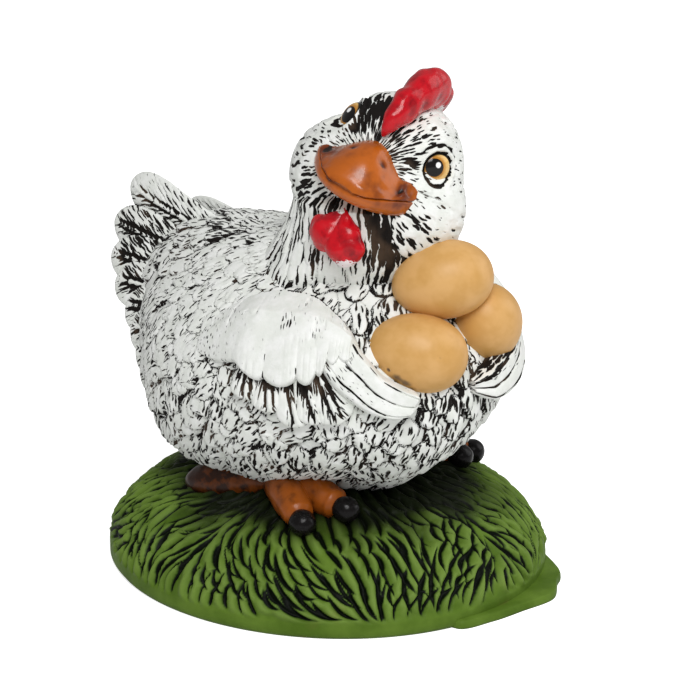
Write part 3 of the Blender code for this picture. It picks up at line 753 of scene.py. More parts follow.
def make_mound():
    """Grass combed outwards: long curling cuts between crowned blades, a smooth rim, and painted shade near
    the body.

    Over the smooth mound the surface rises by BLADE_CROWN·crown - CUT_DEPTH·depth and by soft
    lumps, which all fade out at the rim. A skirt and a flat foot close it below.
    """
    columns, rows = 760, 124
    around = np.linspace(0.0, 2 * pi, columns, endpoint=False)
    turn, fall = np.meshgrid(around, np.linspace(0.25, 1.0, rows))
    grid = mound_fall(turn, fall)
    outward = unit(grid + np.array([0.0, 0.0, 10.0]))
    depth, crown = carve_cuts(grid, grass_cuts())
    rim = step(1.0, 0.94, fall)
    soft = lumps(grid, 5.0, 2) - 0.5
    lift = BLADE_CROWN * crown - CUT_DEPTH * depth + 0.7 * soft - 0.35
    out = np.hypot(grid[..., 0] / BASE_HALF_WIDTH, grid[..., 1] / BASE_HALF_LENGTH)
    # painted shade round the feet and under the body, kept for the grass paint
    shade = step(0.60, 0.84, out + 0.20 * (lumps(grid, 9.0, 4) - 0.5))
    grid = grid + outward * (lift * rim)[..., None]
    foot = mound_point(turn[-1:], FOOT_SHARE)
    foot[..., 2] = 0.0
    skirt = [grid[-1:] * [[[1, 1, 0]]] + [[[0, 0, z]]] for z in SKIRT_HEIGHTS]
    spare = np.ones((3, columns))
    closed_grid(
        "grass_mound", np.concatenate([grid, *skirt, foot]), ((0, 0, MOUND_HEIGHT - 3), (0, 0, 0)),
        "green_grass", groove=np.concatenate([depth * rim, 0 * spare]),
        crown=np.concatenate([crown * rim, 0 * spare]), cover=np.concatenate([shade, spare]),
    )


def make_flash():
    """The flat flash of the casting along the rim: an outline rounded at its upper edge."""
    outline = np.array([(x, y, 0.0) for x, y in FLASH_OUTLINE])
    middle = outline.mean(0)
    dense = curve_through(np.vstack([outline, outline[:1]]), np.linspace(0, 1, 121)[:-1])
    grid = np.array([middle + (dense - middle) * scale + [0.0, 0.0, z] for scale, z in FLASH_PROFILE])
    closed_grid("grass_flash", grid, (middle, middle + [0, 0, FLASH_PROFILE[-1][1]]), "green_grass",
                groove=np.zeros(grid.shape[:2]), cover=np.ones(grid.shape[:2]))


# Body

def body_place(way, lift):
    """Points lift above the body's surface in unit directions from its centre."""
    rises = sum(bump(way, *rise) for rise in BODY_RISES)
    return BODY_CENTRE + way * (reach(way, BODY_LOBES) + rises + lift)[..., None]


def body_way(u, v):
    """Unit directions: v is the share of the way from the neck to the vent, u the turn."""
    neck = np.array([0.0, -np.sin(BODY_LEAN), np.cos(BODY_LEAN)])
    left = np.array([1.0, 0.0, 0.0])
    fall, turn = (pi * v)[..., None], (2 * pi * u)[..., None]
    return neck * np.cos(fall) + (left * np.cos(turn) + np.cross(neck, left) * np.sin(turn)) * np.sin(fall)


def body_tips():
    """Rows of rounded feathers, every second row half a feather round, from neck to vent."""
    rows = []
    for number, v in enumerate(np.arange(BODY_START, BODY_END - 0.03, BODY_FEATHER_ROW)):
        girth = 2 * pi * BODY_MEAN_RADIUS * np.sin(pi * v)
        count = max(6, int(girth / (BODY_FEATHER_WIDTH * 0.84)))
        u = (np.arange(count) + 0.5 * (number % 2) + 0.3 * CHANCE.random(count)) / count
        v = v + 0.007 * CHANCE.standard_normal(count)
        root = body_place(body_way(u, v), 0.0)
        turned = u + 0.010 * CHANCE.standard_normal(count)
        way = unit(body_place(body_way(turned, v + 0.05), 0.0) - root)
        side = unit(np.cross(unit(root - BODY_CENTRE), way))
        width = BODY_FEATHER_WIDTH * (0.8 + 0.4 * CHANCE.random(count))
        length = BODY_FEATHER_LENGTH * (0.85 + 0.35 * CHANCE.random(count))
        share = (v - BODY_START) / (BODY_END - BODY_START)
        rows.append(np.column_stack([root, way, side, width, length, share]))
    return np.vstack(rows)


def make_body(side, tips):
    """Half the body, with rows of feathers, closed down its middle.

    Past the middle each half dips a little under the other, so that no seam shows.
    """
    columns, rows, over = 250, 340, 3
    start = -0.25 if side > 0 else 0.25
    share = np.arange(-over, columns + over + 1) / columns
    u, v = np.meshgrid(start + 0.5 * share, np.linspace(BODY_START, BODY_END, rows))
    way = body_way(u, v)
    smooth = body_place(way, 0.0)
    size = 0.6 + 0.4 * body_roughness(smooth) + 0.5 * step(56.0, 40.0, smooth[..., 2])
    height, stroke = lay_tips(smooth, tips, BODY_FEATHER_RISE, 0.42, 0.30, 0.13)
    height = height * size
    hollow = (5.5 * (blur(height, 1, 1, False) - height) / BODY_FEATHER_RISE).clip(0, 1)
    carved = scratches(stroke + [0, 0, 3.7] * stroke, 1.1, 4.0) * size
    past = np.maximum(0.0, np.abs(share - 0.5) - 0.5) * columns
    lift = height - 0.6 - 0.45 * hollow - 0.35 * carved - (0.08 * past ** 1.5)[None]
    outer = body_place(way, lift)
    cover = body_cover(smooth)
    inner = np.linspace(outer[:, -1], outer[:, 0], 6, axis=1)[:, 1:-1]
    spare = np.zeros(inner.shape[:2])
    closed_grid(
        f"body_{WORD[side]}", np.concatenate([outer, inner], axis=1),
        (outer[0].mean(0), outer[-1].mean(0)), "white_feathers",
        stroke=np.concatenate([stroke, np.zeros(inner.shape)], axis=1),
        cover=np.concatenate([cover, spare], axis=1),
        groove=np.concatenate([(0.9 * hollow + 0.3 * carved).clip(0, 1), spare], axis=1),
    )


def body_roughness(places):
    """How deeply the feathers are cut: lightly on the mid flank, deepest low down and at the back."""
    return 1.0 - 0.85 * blots(places, SMOOTH_FLANKS).clip(0, 1)


def body_cover(places):
    """How much white the body carries: most on the flanks, least low down, where the belly's streaks and
    painted shade darken it, and under the eggs, where painted shadow darkens it.
    """
    y, z = places[..., 1], places[..., 2]
    # low down the white thins for the belly's streaks and for painted shade
    cover = 0.86 - 0.16 * step(62.0, 40.0, z) - 0.14 * step(26.0, 44.0, y) * step(60.0, 85.0, z)
    return cover + blots(places, BODY_BLOTS)


# Feathers

def feather_piece(name, root, tip, across, outward, width, thickness, cover, seed, sweep=2.0, pitch=3.0):
    """One blade: an oval section that widens to a round tip, with a shaft and slanted barbs.

    The shaft is a narrow ridge between two grooves, and the barbs are grooves that leave it
    forwards and outwards at an even pitch.
    """
    rows, columns = 90, 88
    length = np.linalg.norm(tip - root)
    v = np.linspace(0.0, 1.0, rows + 1)[1:-1] ** 0.9
    turn = np.linspace(0.0, 1.0, columns, endpoint=False)
    ramp = np.where(turn < 0.5, 1 - 4 * turn, 4 * turn - 3)
    over = turn < 0.5
    narrow = np.clip((v - 0.66) / 0.34, 0.0, 1.0)
    spread = np.sqrt(1.0 - narrow ** 2.4) * (0.62 + 0.38 * np.minimum(1.0, 1.6 * v))
    x = ramp[None] * (width / 2 * spread)[:, None]
    dome = np.sqrt(np.clip(1.0 - ramp ** 2, 0, 1))[None] * (thickness / 2 * spread ** 0.5)[:, None]
    along = (v * length)[:, None] + 0 * x
    wobble = lumps(np.stack([x, along, 0 * x + seed], -1), 3.0, 11) - 0.5
    barb = (along - sweep * np.abs(x) + 1.2 * wobble) / pitch + seed
    ridge = np.abs(barb % 1.0 - 0.5) * 2.0
    cut = step(0.55, 0.95, ridge) * step(0.5, 1.4, np.abs(x)) * step(1.0, 0.8, np.abs(ramp)[None] + 0 * x)
    cut = cut * step(0.30, 0.60, lumps(np.stack([barb, 0.25 * x, 0 * x], -1), 1.0, 19))
    shaft = bell(x, 0.45) - 1.2 * bell(np.abs(x) - 1.0, 0.42)
    shaft = shaft * step(0.97, 0.8, v)[:, None]
    raised = np.where(over[None], dome, -dome) + 0.35 * shaft - 0.38 * cut
    bow = np.sin(pi * v)[:, None] * 0.04 * length
    grid = root + (tip - root) * v[:, None, None] + across * x[..., None]
    grid = grid + outward * (raised + bow)[..., None]
    groove = 0.55 * cut + 0.9 * np.clip(-shaft, 0, 1)
    lean = 1.0 / np.hypot(1.0, sweep)
    stroke = np.stack([barb * pitch * lean * 1.5, np.abs(x) / lean, 0 * x + round(seed)], -1)
    closed_grid(name, grid, (root, tip), "white_feathers",
                stroke=stroke, cover=cover(ramp[None] + 0 * x, v[:, None] + 0 * x), groove=groove)


def make_tail(side):
    """Eight feathers fanned along an arch, each turned a little so that it overlaps the next."""
    mirror = np.array([-side, 1.0, 1.0])
    tips = np.array(TAIL_TIPS, float) * mirror
    roots = np.array(TAIL_ROOTS, float) * mirror
    if side > 0:
        tips = tips + LEFT_TAIL_DROP * (1 - np.arange(len(tips)) / len(tips))[:, None]
    for index in range(len(tips)):
        line = unit(tips[index] - roots[index])
        arch = tips[min(index + 1, len(tips) - 1)] - tips[max(index - 1, 0)]
        level_arch = unit(arch - line * arch.dot(line))
        outward = np.cross(level_arch, line)
        if outward[0] * side < 0:
            outward = -outward
        across = unit(level_arch - outward * TAIL_TWIST)
        outward = unit(outward + level_arch * TAIL_TWIST)

        def cover(ramp, v, first=index == 0):
            # below the first, each feather's upper part is painted darker: painted shadow of the feather over
            # it
            dark = 0.45 * step(-0.2, 0.3, ramp) if first else 0.62 * step(0.72, 0.20, ramp)
            return 1.0 - dark * step(1.0, 0.9, v) - 0.25 * step(0.5, 0.2, v)

        feather_piece(
            f"tail_feather_{WORD[side]}_{index}", roots[index], tips[index],
            across, outward, TAIL_FEATHER_WIDTH, TAIL_FEATHER_THICKNESS, cover, index * 1.7 + side,
        )


def side_place(side, angles, lift):
    """Points on the side of the body, from bearings and height angles in degrees."""
    b, h = np.radians(angles[..., 0]), np.radians(angles[..., 1])
    way = np.stack([side * np.sin(b) * np.cos(h), -np.cos(b) * np.cos(h), np.sin(h)], -1)
    return body_place(way, lift)


def blend_curves(first, second, u, v):
    """Points at u along two smooth curves, blended from the first at v = 0 to the second at 1."""
    return curve_through(first, u) * (1 - v)[..., None] + curve_through(second, u) * v[..., None]


def slab_rings(top, bottom, rows, columns):
    """Rings of a slab: across its top with v from 0 to 1, and back under it."""
    down = np.concatenate([np.linspace(0, 1, columns), np.linspace(1, 0, columns // 4 + 2)[1:-1]])
    v, u = np.meshgrid(down, np.linspace(0.0, 1.0, rows))
    is_top = np.broadcast_to(np.arange(len(down)) < columns, u.shape)
    grid = np.where(is_top[..., None], top(u, v), bottom(u, v))
    return grid, u, v, is_top


def make_coverts(side):
    """The smooth shoulder of the wing, with a scalloped lower edge of covert tips."""

    def edge_angles(u, v):
        scallop = lobes(u) * 2.2 * np.maximum(0.0, 2 * v - 1)
        angles = blend_curves(COVERTS_TOP, COVERTS_EDGE, u, v)
        angles[..., 1] += 1.4 * v - scallop
        return angles

    def lobes(u):
        return np.abs(np.sin(8 * pi * u + 0.8 * np.sin(9 * u))) ** 0.7 * step(0.16, 0.30, u)

    def top(u, v):
        swell = np.minimum(1.0, 0.20 + 2.6 * v) * step(-0.05, 0.34, u) * np.minimum(1.0, 8 * (1 - u) + 0.3)
        rounded = np.sqrt(np.clip(1.0 - ((v - 0.93) / 0.07).clip(0, 1) ** 2, 0.0, 1.0)) * 0.75 + 0.25
        places = side_place(side, edge_angles(u, v), WING_THICKNESS * swell * rounded)
        ribs = 0.7 * lobes(u) * step(0.50, 0.97, v)
        soft = 1.1 * (lumps(places, 8.0, 21) - 0.5) * step(0.0, 0.3, v)
        return places + unit(places - BODY_CENTRE) * (ribs + soft)[..., None]

    def bottom(u, v):
        return side_place(side, edge_angles(u, v), -WING_SINK)

    grid, u, v, is_top = slab_rings(top, bottom, 260, 150)
    normal = unit(grid - BODY_CENTRE)
    stroke = np.stack([u * 74.0, v * 28.0, 0 * u], -1)
    marks = scratches(stroke, 1.7, 6.0, 17) * is_top
    wander = u + 0.02 * (lumps(grid, 9.0, 31) - 0.5)
    ribs = bell(wander * 31.0 % 1.0 - 0.5, 0.12) * step(0.45, 0.7, v) * step(0.2, 0.35, u) * is_top
    ribs = ribs * step(0.35, 0.65, lumps(grid, 6.0, 33))
    grid = grid - normal * (0.30 * marks * step(0.62, 0.8, lumps(grid, 5.0, 8)) + 0.16 * ribs)[..., None]
    cover = 1.32 - 0.30 * step(0.95, 1.0, v) - 0.45 * step(0.32, 0.05, u)
    cover = np.where(is_top, cover, 0.0) + blots(grid, COVERT_BLOTS)
    cut = (1.0 - lobes(u)).clip(0, 1) ** 6 * step(0.55, 0.97, v) * step(0.2, 0.3, u)
    top_edge = step(0.035, 0.01, v) * step(0.30, 0.45, u)
    groove = np.where(is_top, 0.9 * cut + 0.12 * marks + 0.10 * ribs + 0.9 * top_edge, 1.0)
    closed_grid(f"wing_coverts_{WORD[side]}", grid, (grid[0].mean(0), grid[-1].mean(0)),
                "white_feathers", stroke=stroke, cover=cover, groove=groove)


def make_hand(side):
    """The hand of the wing reaching under the eggs: four long feathers side by side."""
    leading, trailing = LEFT_HAND if side > 0 else RIGHT_HAND

    def angles(u, v):
        return blend_curves(leading, trailing, u, v)

    def bars(u, v):
        thick = 0.10 if side > 0 else 0.06
        return bell((v + 0.05 * np.sin(5 * u)) * 3.0 % 1.0 - 0.5, thick) * step(0.05, 0.2, v)

    def top(u, v):
        edge = np.minimum(1.0, 0.35 + 5.0 * v) * np.minimum(1.0, 0.25 + 5.0 * (1.0 - u))
        edge = edge * np.sqrt(np.clip(1.0 - ((v - 0.88) / 0.12).clip(0, 1) ** 2, 0.04, 1.0))
        soft = 0.5 * np.sin(pi * v) + 0.25 * np.sin(3 * pi * v)
        return side_place(side, angles(u, v), WING_THICKNESS * 0.8 * edge + 1.2 * u + soft - 0.6 * bars(u, v))

    def bottom(u, v):
        return side_place(side, angles(u, v), -WING_SINK)

    grid, u, v, is_top = slab_rings(top, bottom, 220, 150)
    stroke = np.stack([v * 20.0, u * 44.0, 0 * u + 5.0], -1)
    cover = np.where(is_top, 1.22 - 0.15 * step(0.75, 1.0, v) - 0.45 * step(0.30, 0.05, u), 0.0)
    cover = cover - (0.9 * step(0.45, 0.15, v) if side > 0 else 0.0)
    strength = 1.1 if side > 0 else 0.2 + 0.9 * step(0.35, 0.15, np.abs(u - 0.38))
    groove = np.where(is_top, strength * bars(u, v), 1.0)
    closed_grid(f"wing_hand_{WORD[side]}", grid, (grid[0].mean(0), grid[-1].mean(0)),
                "white_feathers", stroke=stroke, cover=cover, groove=groove)


def make_secondaries(side):
    """The feathers that hang below the coverts, their tips resting on the flank."""
    for index, (bearing_in, height_in, bearing_out, height_out) in enumerate(SECONDARIES):
        root = side_place(side, np.array([bearing_in, height_in]), 0.5)
        tip = side_place(side, np.array([bearing_out, height_out]), 1.6)
        outward = unit(((root + tip) / 2 - BODY_CENTRE) * np.array([1.0, 1.0, 0.0]))
        across = unit(np.cross(tip - root, outward))
        feather_piece(
            f"secondary_{WORD[side]}_{index}", root, tip, across, outward,
            SECONDARY_WIDTH, SECONDARY_THICKNESS,
            lambda ramp, v: 0.78 + 0.40 * step(0.3, 0.75, np.abs(ramp)) - 0.75 * step(0.55, 0.3, v),
            index * 2.3 + 0.5 * side, 2.6, 4.6,
        )


# Neck and head

def neck_point(u, v):
    """The cape's smooth surface: rings about the neck's line that flare as v squared."""
    turn = 2 * pi * u
    middle = curve_through(NECK_LINE, v)
    radius = (NECK_RADIUS + NECK_FLARE * v * v) * np.minimum(1.0, 0.7 + 2 * v)
    return middle + np.stack([np.cos(turn), np.sin(turn), 0 * turn], -1) * radius[..., None]


def hackle_turn(u, v):
    """The turn of a hackle that starts at u: lower down it swings towards the front."""
    return u - NECK_SWING * v * np.cos(2 * pi * u)


def make_neck():
    """The hackle cape: long narrow feathers with deep streaks, and a raised edge at the side.

    In front the edge sinks into the breast, so that the throat runs on without a step.
    """
    columns, rows = 420, 200
    u, v = ring_grid(columns, np.linspace(0.02, 1.0, rows))
    smooth = neck_point(u, v)
    middle = curve_through(NECK_LINE, v)
    outward = unit(smooth - middle)
    rows_of_tips = []
    count = HACKLES_ROUND
    for number, start in enumerate(HACKLE_STARTS):
        at = (np.arange(count) + 0.5 * (number % 2) + 0.2 * CHANCE.random(count)) / count
        top = np.full(count, max(start, 0.0))
        way = unit(neck_point(hackle_turn(at, top + 0.2), top + 0.2) - neck_point(hackle_turn(at, top), top))
        at = hackle_turn(at, top)
        root = neck_point(at, top) + way * (start - max(start, 0.0)) * 30.0
        side = unit(np.cross(unit(root - curve_through(NECK_LINE, top)), way))
        width = HACKLE_WIDTH * (0.85 + 0.35 * CHANCE.random(count))
        length = HACKLE_LENGTH * (0.9 + 0.2 * CHANCE.random(count))
        rows_of_tips.append(np.column_stack([root, way, side, width, length, top]))
    height = lay_tips(smooth, np.vstack(rows_of_tips), HACKLE_RISE, 0.35, 0.3, 0.9)[0]
    hollow = (2.0 * (blur(height, 2, 2) - height) / HACKLE_RISE).clip(0, 1)
    arc = hackle_turn(u, -v) * 2 * pi * NECK_RADIUS
    stroke = np.stack([arc, v * 16.0, 0 * arc], -1)
    carved = scratches(np.stack([arc, v * 32.0, 0 * arc], -1), 1.05, 13.0, 31)
    front = step(0.25, 0.70, np.cos(2 * pi * (u - NECK_FRONT_TURN)))
    sunk = 4.0 * front * step(0.62, 1.0, v)
    streaky = 1.0 - 0.55 * front
    lift = (0.8 * height - 0.35 * hollow - 0.75 * carved) * streaky - 0.5 - sunk
    grid = smooth + outward * lift[..., None]
    low = smooth[-1:] + outward[-1:] * np.array([[[-7.0]]]) - np.array([0.0, 0.0, 1.0])
    cover = NECK_COVER + blots(smooth, NECK_BLOTS)
    spare = np.zeros((2, columns))
    edge = grid[-1:] * 0.6 + low * 0.4
    closed_grid(
        "hackle_cape", np.concatenate([grid, edge, low]), (smooth[0].mean(0), low[0].mean(0)),
        "white_feathers",
        stroke=np.concatenate([stroke, stroke[-2:]]), cover=np.concatenate([cover, spare]),
        groove=np.concatenate([(0.55 * hollow + 0.50 * carved).clip(0, 1) * streaky, spare + 1.0]),
    )


def head_place(places):
    """Points given as left, front and up in the frame of the turned and tilted head."""
    return HEAD_CENTRE + np.asarray(places, float) @ np.stack([HEAD_LEFT, HEAD_FRONT, HEAD_UP])


def ball_direction(u, v):
    """Unit directions: v is the share of the way from +Z down to -Z, u the turn."""
    turn, fall = 2 * pi * u, pi * v
    return np.stack([np.sin(fall) * np.cos(turn), np.sin(fall) * np.sin(turn), np.cos(fall)], -1)


def eye_facing(side):
    """The way in which the eye on one side of the head looks out."""
    return unit(np.array(EYE_FACING) * [side, 1, 1])


def make_head():
    """Skull and full cheeks: brows, lidded eye sockets, and plumage that radiates from the bill.

    The rings run round the bill's axis, so v is 0 at the bill and 1 at the nape.
    """
    columns, rows = 420, 220
    u, v = ring_grid(columns, np.linspace(0.02, 0.98, rows))
    ball = ball_direction(u, v)
    way = np.stack([ball[..., 0], ball[..., 2], ball[..., 1]], -1)
    size = reach(way, HEAD_LOBES)
    dark = np.zeros(size.shape)
    for side in (-1, 1):
        size += bump(way, (0.75 * side, 0.55, 0.38), -1.8, 0.28)
        size += bump(way, (0.66 * side, 0.75, -0.10), 1.2, 0.26)
    size += sum(bump(way, *brow) for brow in BROWS)
    for side in (-1, 1):
        places = way * size[..., None]
        facing_out = eye_facing(side)
        away = places - EYE_PLACE * np.array([side, 1, 1])
        gap = np.linalg.norm(away - facing_out * (away @ facing_out)[..., None], axis=-1)
        near = step(7.0, 4.0, np.linalg.norm(away, axis=-1) - gap)
        socket = bell(gap - EYE_RADIUS, 0.42) * near
        lid = bell(gap - EYE_RADIUS * 1.22, 0.7) * near
        crease = bell(gap - EYE_RADIUS * 1.52, 0.30) * near * step(1.0, 4.0, away[..., 2])
        size += 0.9 * lid * step(-5.0, 2.0, away[..., 2]) - 0.9 * socket - 0.6 * crease
        duct = blots(places, [((9.6 * side, 15.0, 5.4), 1.2, 0.9), ((8.3 * side, 15.7, 5.3), 0.9, 0.8)])
        size -= 0.8 * duct
        dark += 1.8 * socket + 1.2 * crease + 1.4 * duct - 0.5 * lid
    around, ahead = u * 2 * pi * 13.0, v * pi * HEAD_RADIUS
    stroke = np.stack([around, ahead, 0 * around], -1) * HEAD_DASHES
    carved = scratches(stroke, 1.2, 5.0, 41)
    size -= 0.35 * carved + 0.5 * (lumps(way * size[..., None], 4.0, 3) - 0.5)
    places = way * size[..., None]
    cover = 1.06 - 0.38 * step(0.46, 0.30, v) + blots(places, HEAD_BLOTS)
    closed_grid(
        "head", head_place(places), (head_place((0.0, 17.0, 0.0)), head_place((0.0, -17.0, 0.0))),
        "white_feathers", stroke=stroke, cover=cover, groove=(dark + 0.3 * carved).clip(-0.4, 1.4),
    )


def make_eye(side):
    """A shallow eyeball in its socket, with the iris drawn round the pupil.

    The ball is flattened along its facing, ring is the distance from the pupil's middle, and glint places a
    painted highlight.
    """
    u, v = ring_grid(72, shares_between(50))
    ball = ball_direction(u, v)
    facing_out = eye_facing(side)
    upward = unit(np.array([0.0, 0.0, 1.0]) - facing_out * facing_out[2])
    back = np.cross(facing_out, upward) * side
    axes = np.stack([back * EYE_RADIUS, upward * EYE_RADIUS, facing_out * EYE_THICKNESS])
    middle = EYE_PLACE * np.array([side, 1, 1])
    places = middle + ball @ axes
    away = ball[..., :2] * EYE_RADIUS - np.array(PUPIL_SHIFT)
    ring = np.where(ball[..., 2] > 0, np.linalg.norm(away, axis=-1), 9.0)
    rim = np.linalg.norm(ball[..., :2], axis=-1)
    shine = ball[..., :2] * EYE_RADIUS - np.array(PUPIL_SHIFT) - np.array(GLINT_SHIFT)
    glint = (1.0 - np.linalg.norm(shine, axis=-1) / GLINT_RADIUS) * (ball[..., 2] > 0)
    closed_grid(f"eye_{WORD[side]}", head_place(places),
                head_place([middle + facing_out * EYE_THICKNESS, middle - facing_out * EYE_THICKNESS]),
                "eyes", ring=ring, rim=np.where(ball[..., 2] > 0, rim, 1.0), glint=glint.clip(0, 1))


def make_bill(upper):
    """Half the bill on the flat mouth line: a low dome with a ridge, nostrils and folded corners.

    The outline runs wide at the corners of the mouth and narrows early to a blunt tip.
    """
    widths, roofs, floors = BILL_UPPER if upper else BILL_LOWER
    reach_out = BILL_REACH if upper else BILL_REACH - 0.8
    u, v = ring_grid(160, shares_between(110))
    turn = 2 * pi * u
    front = BILL_BACK + (reach_out - BILL_BACK) * np.sin(pi / 2 * v)
    roof, floor = level(roofs, v), level(floors, v)
    across = level(widths, v) * np.cos(turn)
    domed = (np.sin(turn) > 0) == upper
    seam, crown = (floor, roof) if upper else (roof, floor)
    rise = np.abs(np.sin(turn))
    peak = np.maximum(0.9, BILL_RIDGE * (1 - v)) if upper else 0.6 + 0 * v
    height = seam + (crown - seam) * np.where(domed, rise ** peak, -0.12 * rise)
    front = front - 0.012 * across * across * np.sin(pi * v)
    corner = np.exp(-((np.abs(across) - 12.5) / 3.0) ** 2 - ((v - 0.25) / 0.18) ** 2)
    corner = corner * np.where(across > 0, 1.0, 0.25)
    front = front + 2.0 * corner
    places = np.stack([across, front, height], -1)
    groove = np.zeros(across.shape)
    if upper:
        for side in (-1, 1):
            gap = np.linalg.norm((places - [4.3 * side, 21.5, 2.4]) / [1.3, 0.9, 0.8], axis=-1)
            groove += 1.3 * np.exp(-gap ** 2)
            gap = np.linalg.norm(places - [11.4 * side, 19.0, -2.6], axis=-1)
            groove += 1.3 * np.exp(-(gap / 1.5) ** 2)
        folds = lumps(places, 2.2, 77) - 0.5
        groove += 0.35 * step(0.0, -12.0, across)
        rolled = BILL_CORNER * np.minimum(1.0, 3.0 * rise) * corner
        creased = 2.0 * folds * corner + 1.5 * folds * step(0.95, 0.5, rise) * step(0.0, 0.2, v)
        places[..., 2] += (rolled + creased - 0.7 * groove) * domed
        groove += 0.8 * bell(across + 0.80 * level(widths, v), 0.5) * step(0.5, 0.3, v) * domed
    lips = np.exp(-(rise / 0.12) ** 2)
    ends = [(0.0, BILL_BACK, (roofs[0] + floors[0]) / 2), (0.0, reach_out, (roofs[-1] + floors[-1]) / 2)]
    closed_grid(f"bill_{'upper' if upper else 'lower'}", head_place(places), head_place(ends),
                "orange_bill", groove=1.2 * groove + lips * (0.5 if upper else 0.25))


def make_comb():
    """A fat comb along the middle of the crown, notched into three lobes and creased."""
    u, v = ring_grid(110, shares_between(130))
    turn = 2 * pi * u
    middle = curve_through(COMB_LINE, v)
    ahead = curve_through(COMB_LINE, v + 0.03) - curve_through(COMB_LINE, v - 0.03)
    out = unit(np.cross(np.array([1.0, 0.0, 0.0]), ahead))
    out = out * np.where(out[..., 2:] < 0, -1.0, 1.0)
    swell = np.sin(pi * v ** 1.25) ** 0.6
    lobes = 1.0 - sum(0.16 * bell(v - notch, 0.05) for notch in COMB_NOTCHES)
    wide = np.cos(turn) * COMB_THICKNESS / 2 * swell * lobes
    high = np.sin(turn) * COMB_HEIGHT / 2 * swell * np.where(np.sin(turn) > 0, lobes, 1.0)
    places = middle + out * high[..., None]
    places[..., 0] += wide
    outward = unit(places - middle)
    dents = lumps(places, 2.8, 51)
    creases = step(0.48, 0.26, dents)
    places = places + outward * (0.9 * (dents - 0.5))[..., None]
    grid = head_place(places)
    ends = head_place([COMB_LINE[0], COMB_LINE[-1]])
    flecks = step(-0.2, -0.6, np.sin(turn)) * step(0.5, 0.9, v)
    closed_grid("comb", grid, ends, "red_comb", groove=0.7 * creases, flecks=flecks)


def make_wattle(index):
    """One of the two hanging lobes: a teardrop, fullest near its lower end."""
    root, tip = np.array(WATTLE_ROOT), np.array(WATTLE_TIPS[index])
    drop = tip - root
    outward = unit(np.array([-0.85, -0.45, 0.2]))
    across = unit(np.cross(drop, outward))
    u, v = ring_grid(90, shares_between(80))
    turn = 2 * pi * u
    swell = np.sin(pi * v ** 1.5) ** 0.7
    wide = across * np.cos(turn)[..., None] + outward * np.sin(turn)[..., None] * 0.7
    grid = root + drop * (1.12 * v)[..., None] + wide * (WATTLE_RADIUS * swell)[..., None]
    dents = lumps(grid, 3.2, 61)
    creases = step(0.50, 0.28, dents)
    grid = grid + unit(grid - (root + drop * 0.7)) * (1.3 * (dents - 0.5))[..., None]
    flecks = step(0.75, 1.0, v) * index
    closed_grid(f"wattle_{index}", grid, (root, root + drop * 1.12), "red_comb",
                groove=0.5 * creases, flecks=flecks)


# Eggs and feet

def make_egg(name, middle, axis):
    """An egg along its axis, a little fuller at its far end, with small dents."""
    middle, axis = np.array(middle, float), unit(np.array(axis, float))
    side = unit(np.cross(axis, np.array([0.0, 0.0, 1.0])))
    other = np.cross(axis, side)
    u, v = ring_grid(150, shares_between(110))
    ball = ball_direction(u, v)
    girth = EGG_WIDTH / 2 * (1.0 - 0.08 * ball[..., 2:])
    round_axis = side * ball[..., :1] + other * ball[..., 1:2]
    grid = middle - axis * ball[..., 2:] * EGG_LENGTH / 2 + round_axis * girth
    outward = unit(grid - middle)
    soft = 0.25 * (lumps(grid, 6.0, 71) - 0.5)
    marks = blots(grid, EGG_MARKS.get(name, []))
    pits = blots(grid, EGG_PITS.get(name, []))
    grid = grid + outward * (soft - 0.5 * pits)[..., None]
    closed_grid(name, grid, (middle - axis * EGG_LENGTH / 2, middle + axis * EGG_LENGTH / 2), "buff_eggs",
                groove=(marks + 1.2 * pits).clip(0, 1.2))


def make_limb(name, points, radii, slot, dim, fullness=1.6):
    """A round limb through the points, with a radius at each, rounded at both ends.

    The ends are blunt at a fullness of 1.6, and those of an egg at 1. dim darkens each end as painted shade.
    """
    u, v = ring_grid(60, 0.5 - 0.5 * np.cos(pi * shares_between(70)))
    turn = 2 * pi * u
    middle = curve_through(points, v)
    ahead = unit(curve_through(points, v + 0.05) - curve_through(points, v - 0.05))
    side = unit(np.cross(ahead, np.array([0.0, 0.0, 1.0])))
    radius = level(radii, v) * np.minimum(1.0, fullness * np.sqrt(np.clip(1.0 - (2 * v - 1) ** 2, 0, 1)))
    wide = side * np.cos(turn)[..., None] + np.cross(side, ahead) * np.sin(turn)[..., None]
    grid = middle + wide * radius[..., None]
    soft = lumps(grid, 2.6, 5) - 0.5
    grid = grid + wide * (0.5 * soft)[..., None]
    closed_grid(name, grid, (curve_through(points, 0.0), curve_through(points, 1.0)), slot,
                groove=level(dim, v) + 0.5 * soft.clip(0, 1))


def on_mound(x, y, rise):
    """A point rise above the mound's surface."""
    return np.array([x, y, mound_height(x, y) + rise])


def make_foot(side):
    """A shank lying on the grass, with two toes that end in blunt claws."""
    heel = on_mound(HEEL[0] * side, HEEL[1], HEEL_RISE)
    ankle = on_mound(ANKLE[0] * side, ANKLE[1], ANKLE_RISE)
    shank = [heel, (heel + ankle) / 2, ankle]
    # the shank is painted darker towards the heel and each toe towards the ankle: painted shade
    make_limb(f"shank_{WORD[side]}", shank, [SHANK_RADIUS] * 3, "orange_feet", (1.0, 0.35), 1.05)
    for index, (x, y) in enumerate(LEFT_TOES if side > 0 else RIGHT_TOES):
        end = on_mound(x * side, y, TOE_RISE)
        knuckle = on_mound((ANKLE[0] + x) / 2 * side, (ANKLE[1] + y) / 2, KNUCKLE_RISE)
        ahead = unit(end - knuckle)
        make_limb(
            f"toe_{WORD[side]}_{index}", [ankle + (end - ankle) * -0.1, knuckle, end],
            [TOE_RADIUS, TOE_RADIUS * TOE_THICKEST, TOE_RADIUS * 0.8], "orange_feet", (0.35, 0.0),
        )
        claw = [end + ahead * CLAW_RADIUS * share for share in (-0.7, 0.35, 1.4)]
        make_limb(f"claw_{WORD[side]}_{index}", claw, [CLAW_RADIUS] * 3, "black_claws", (0.0, 0.0), 1.0)


# Stage

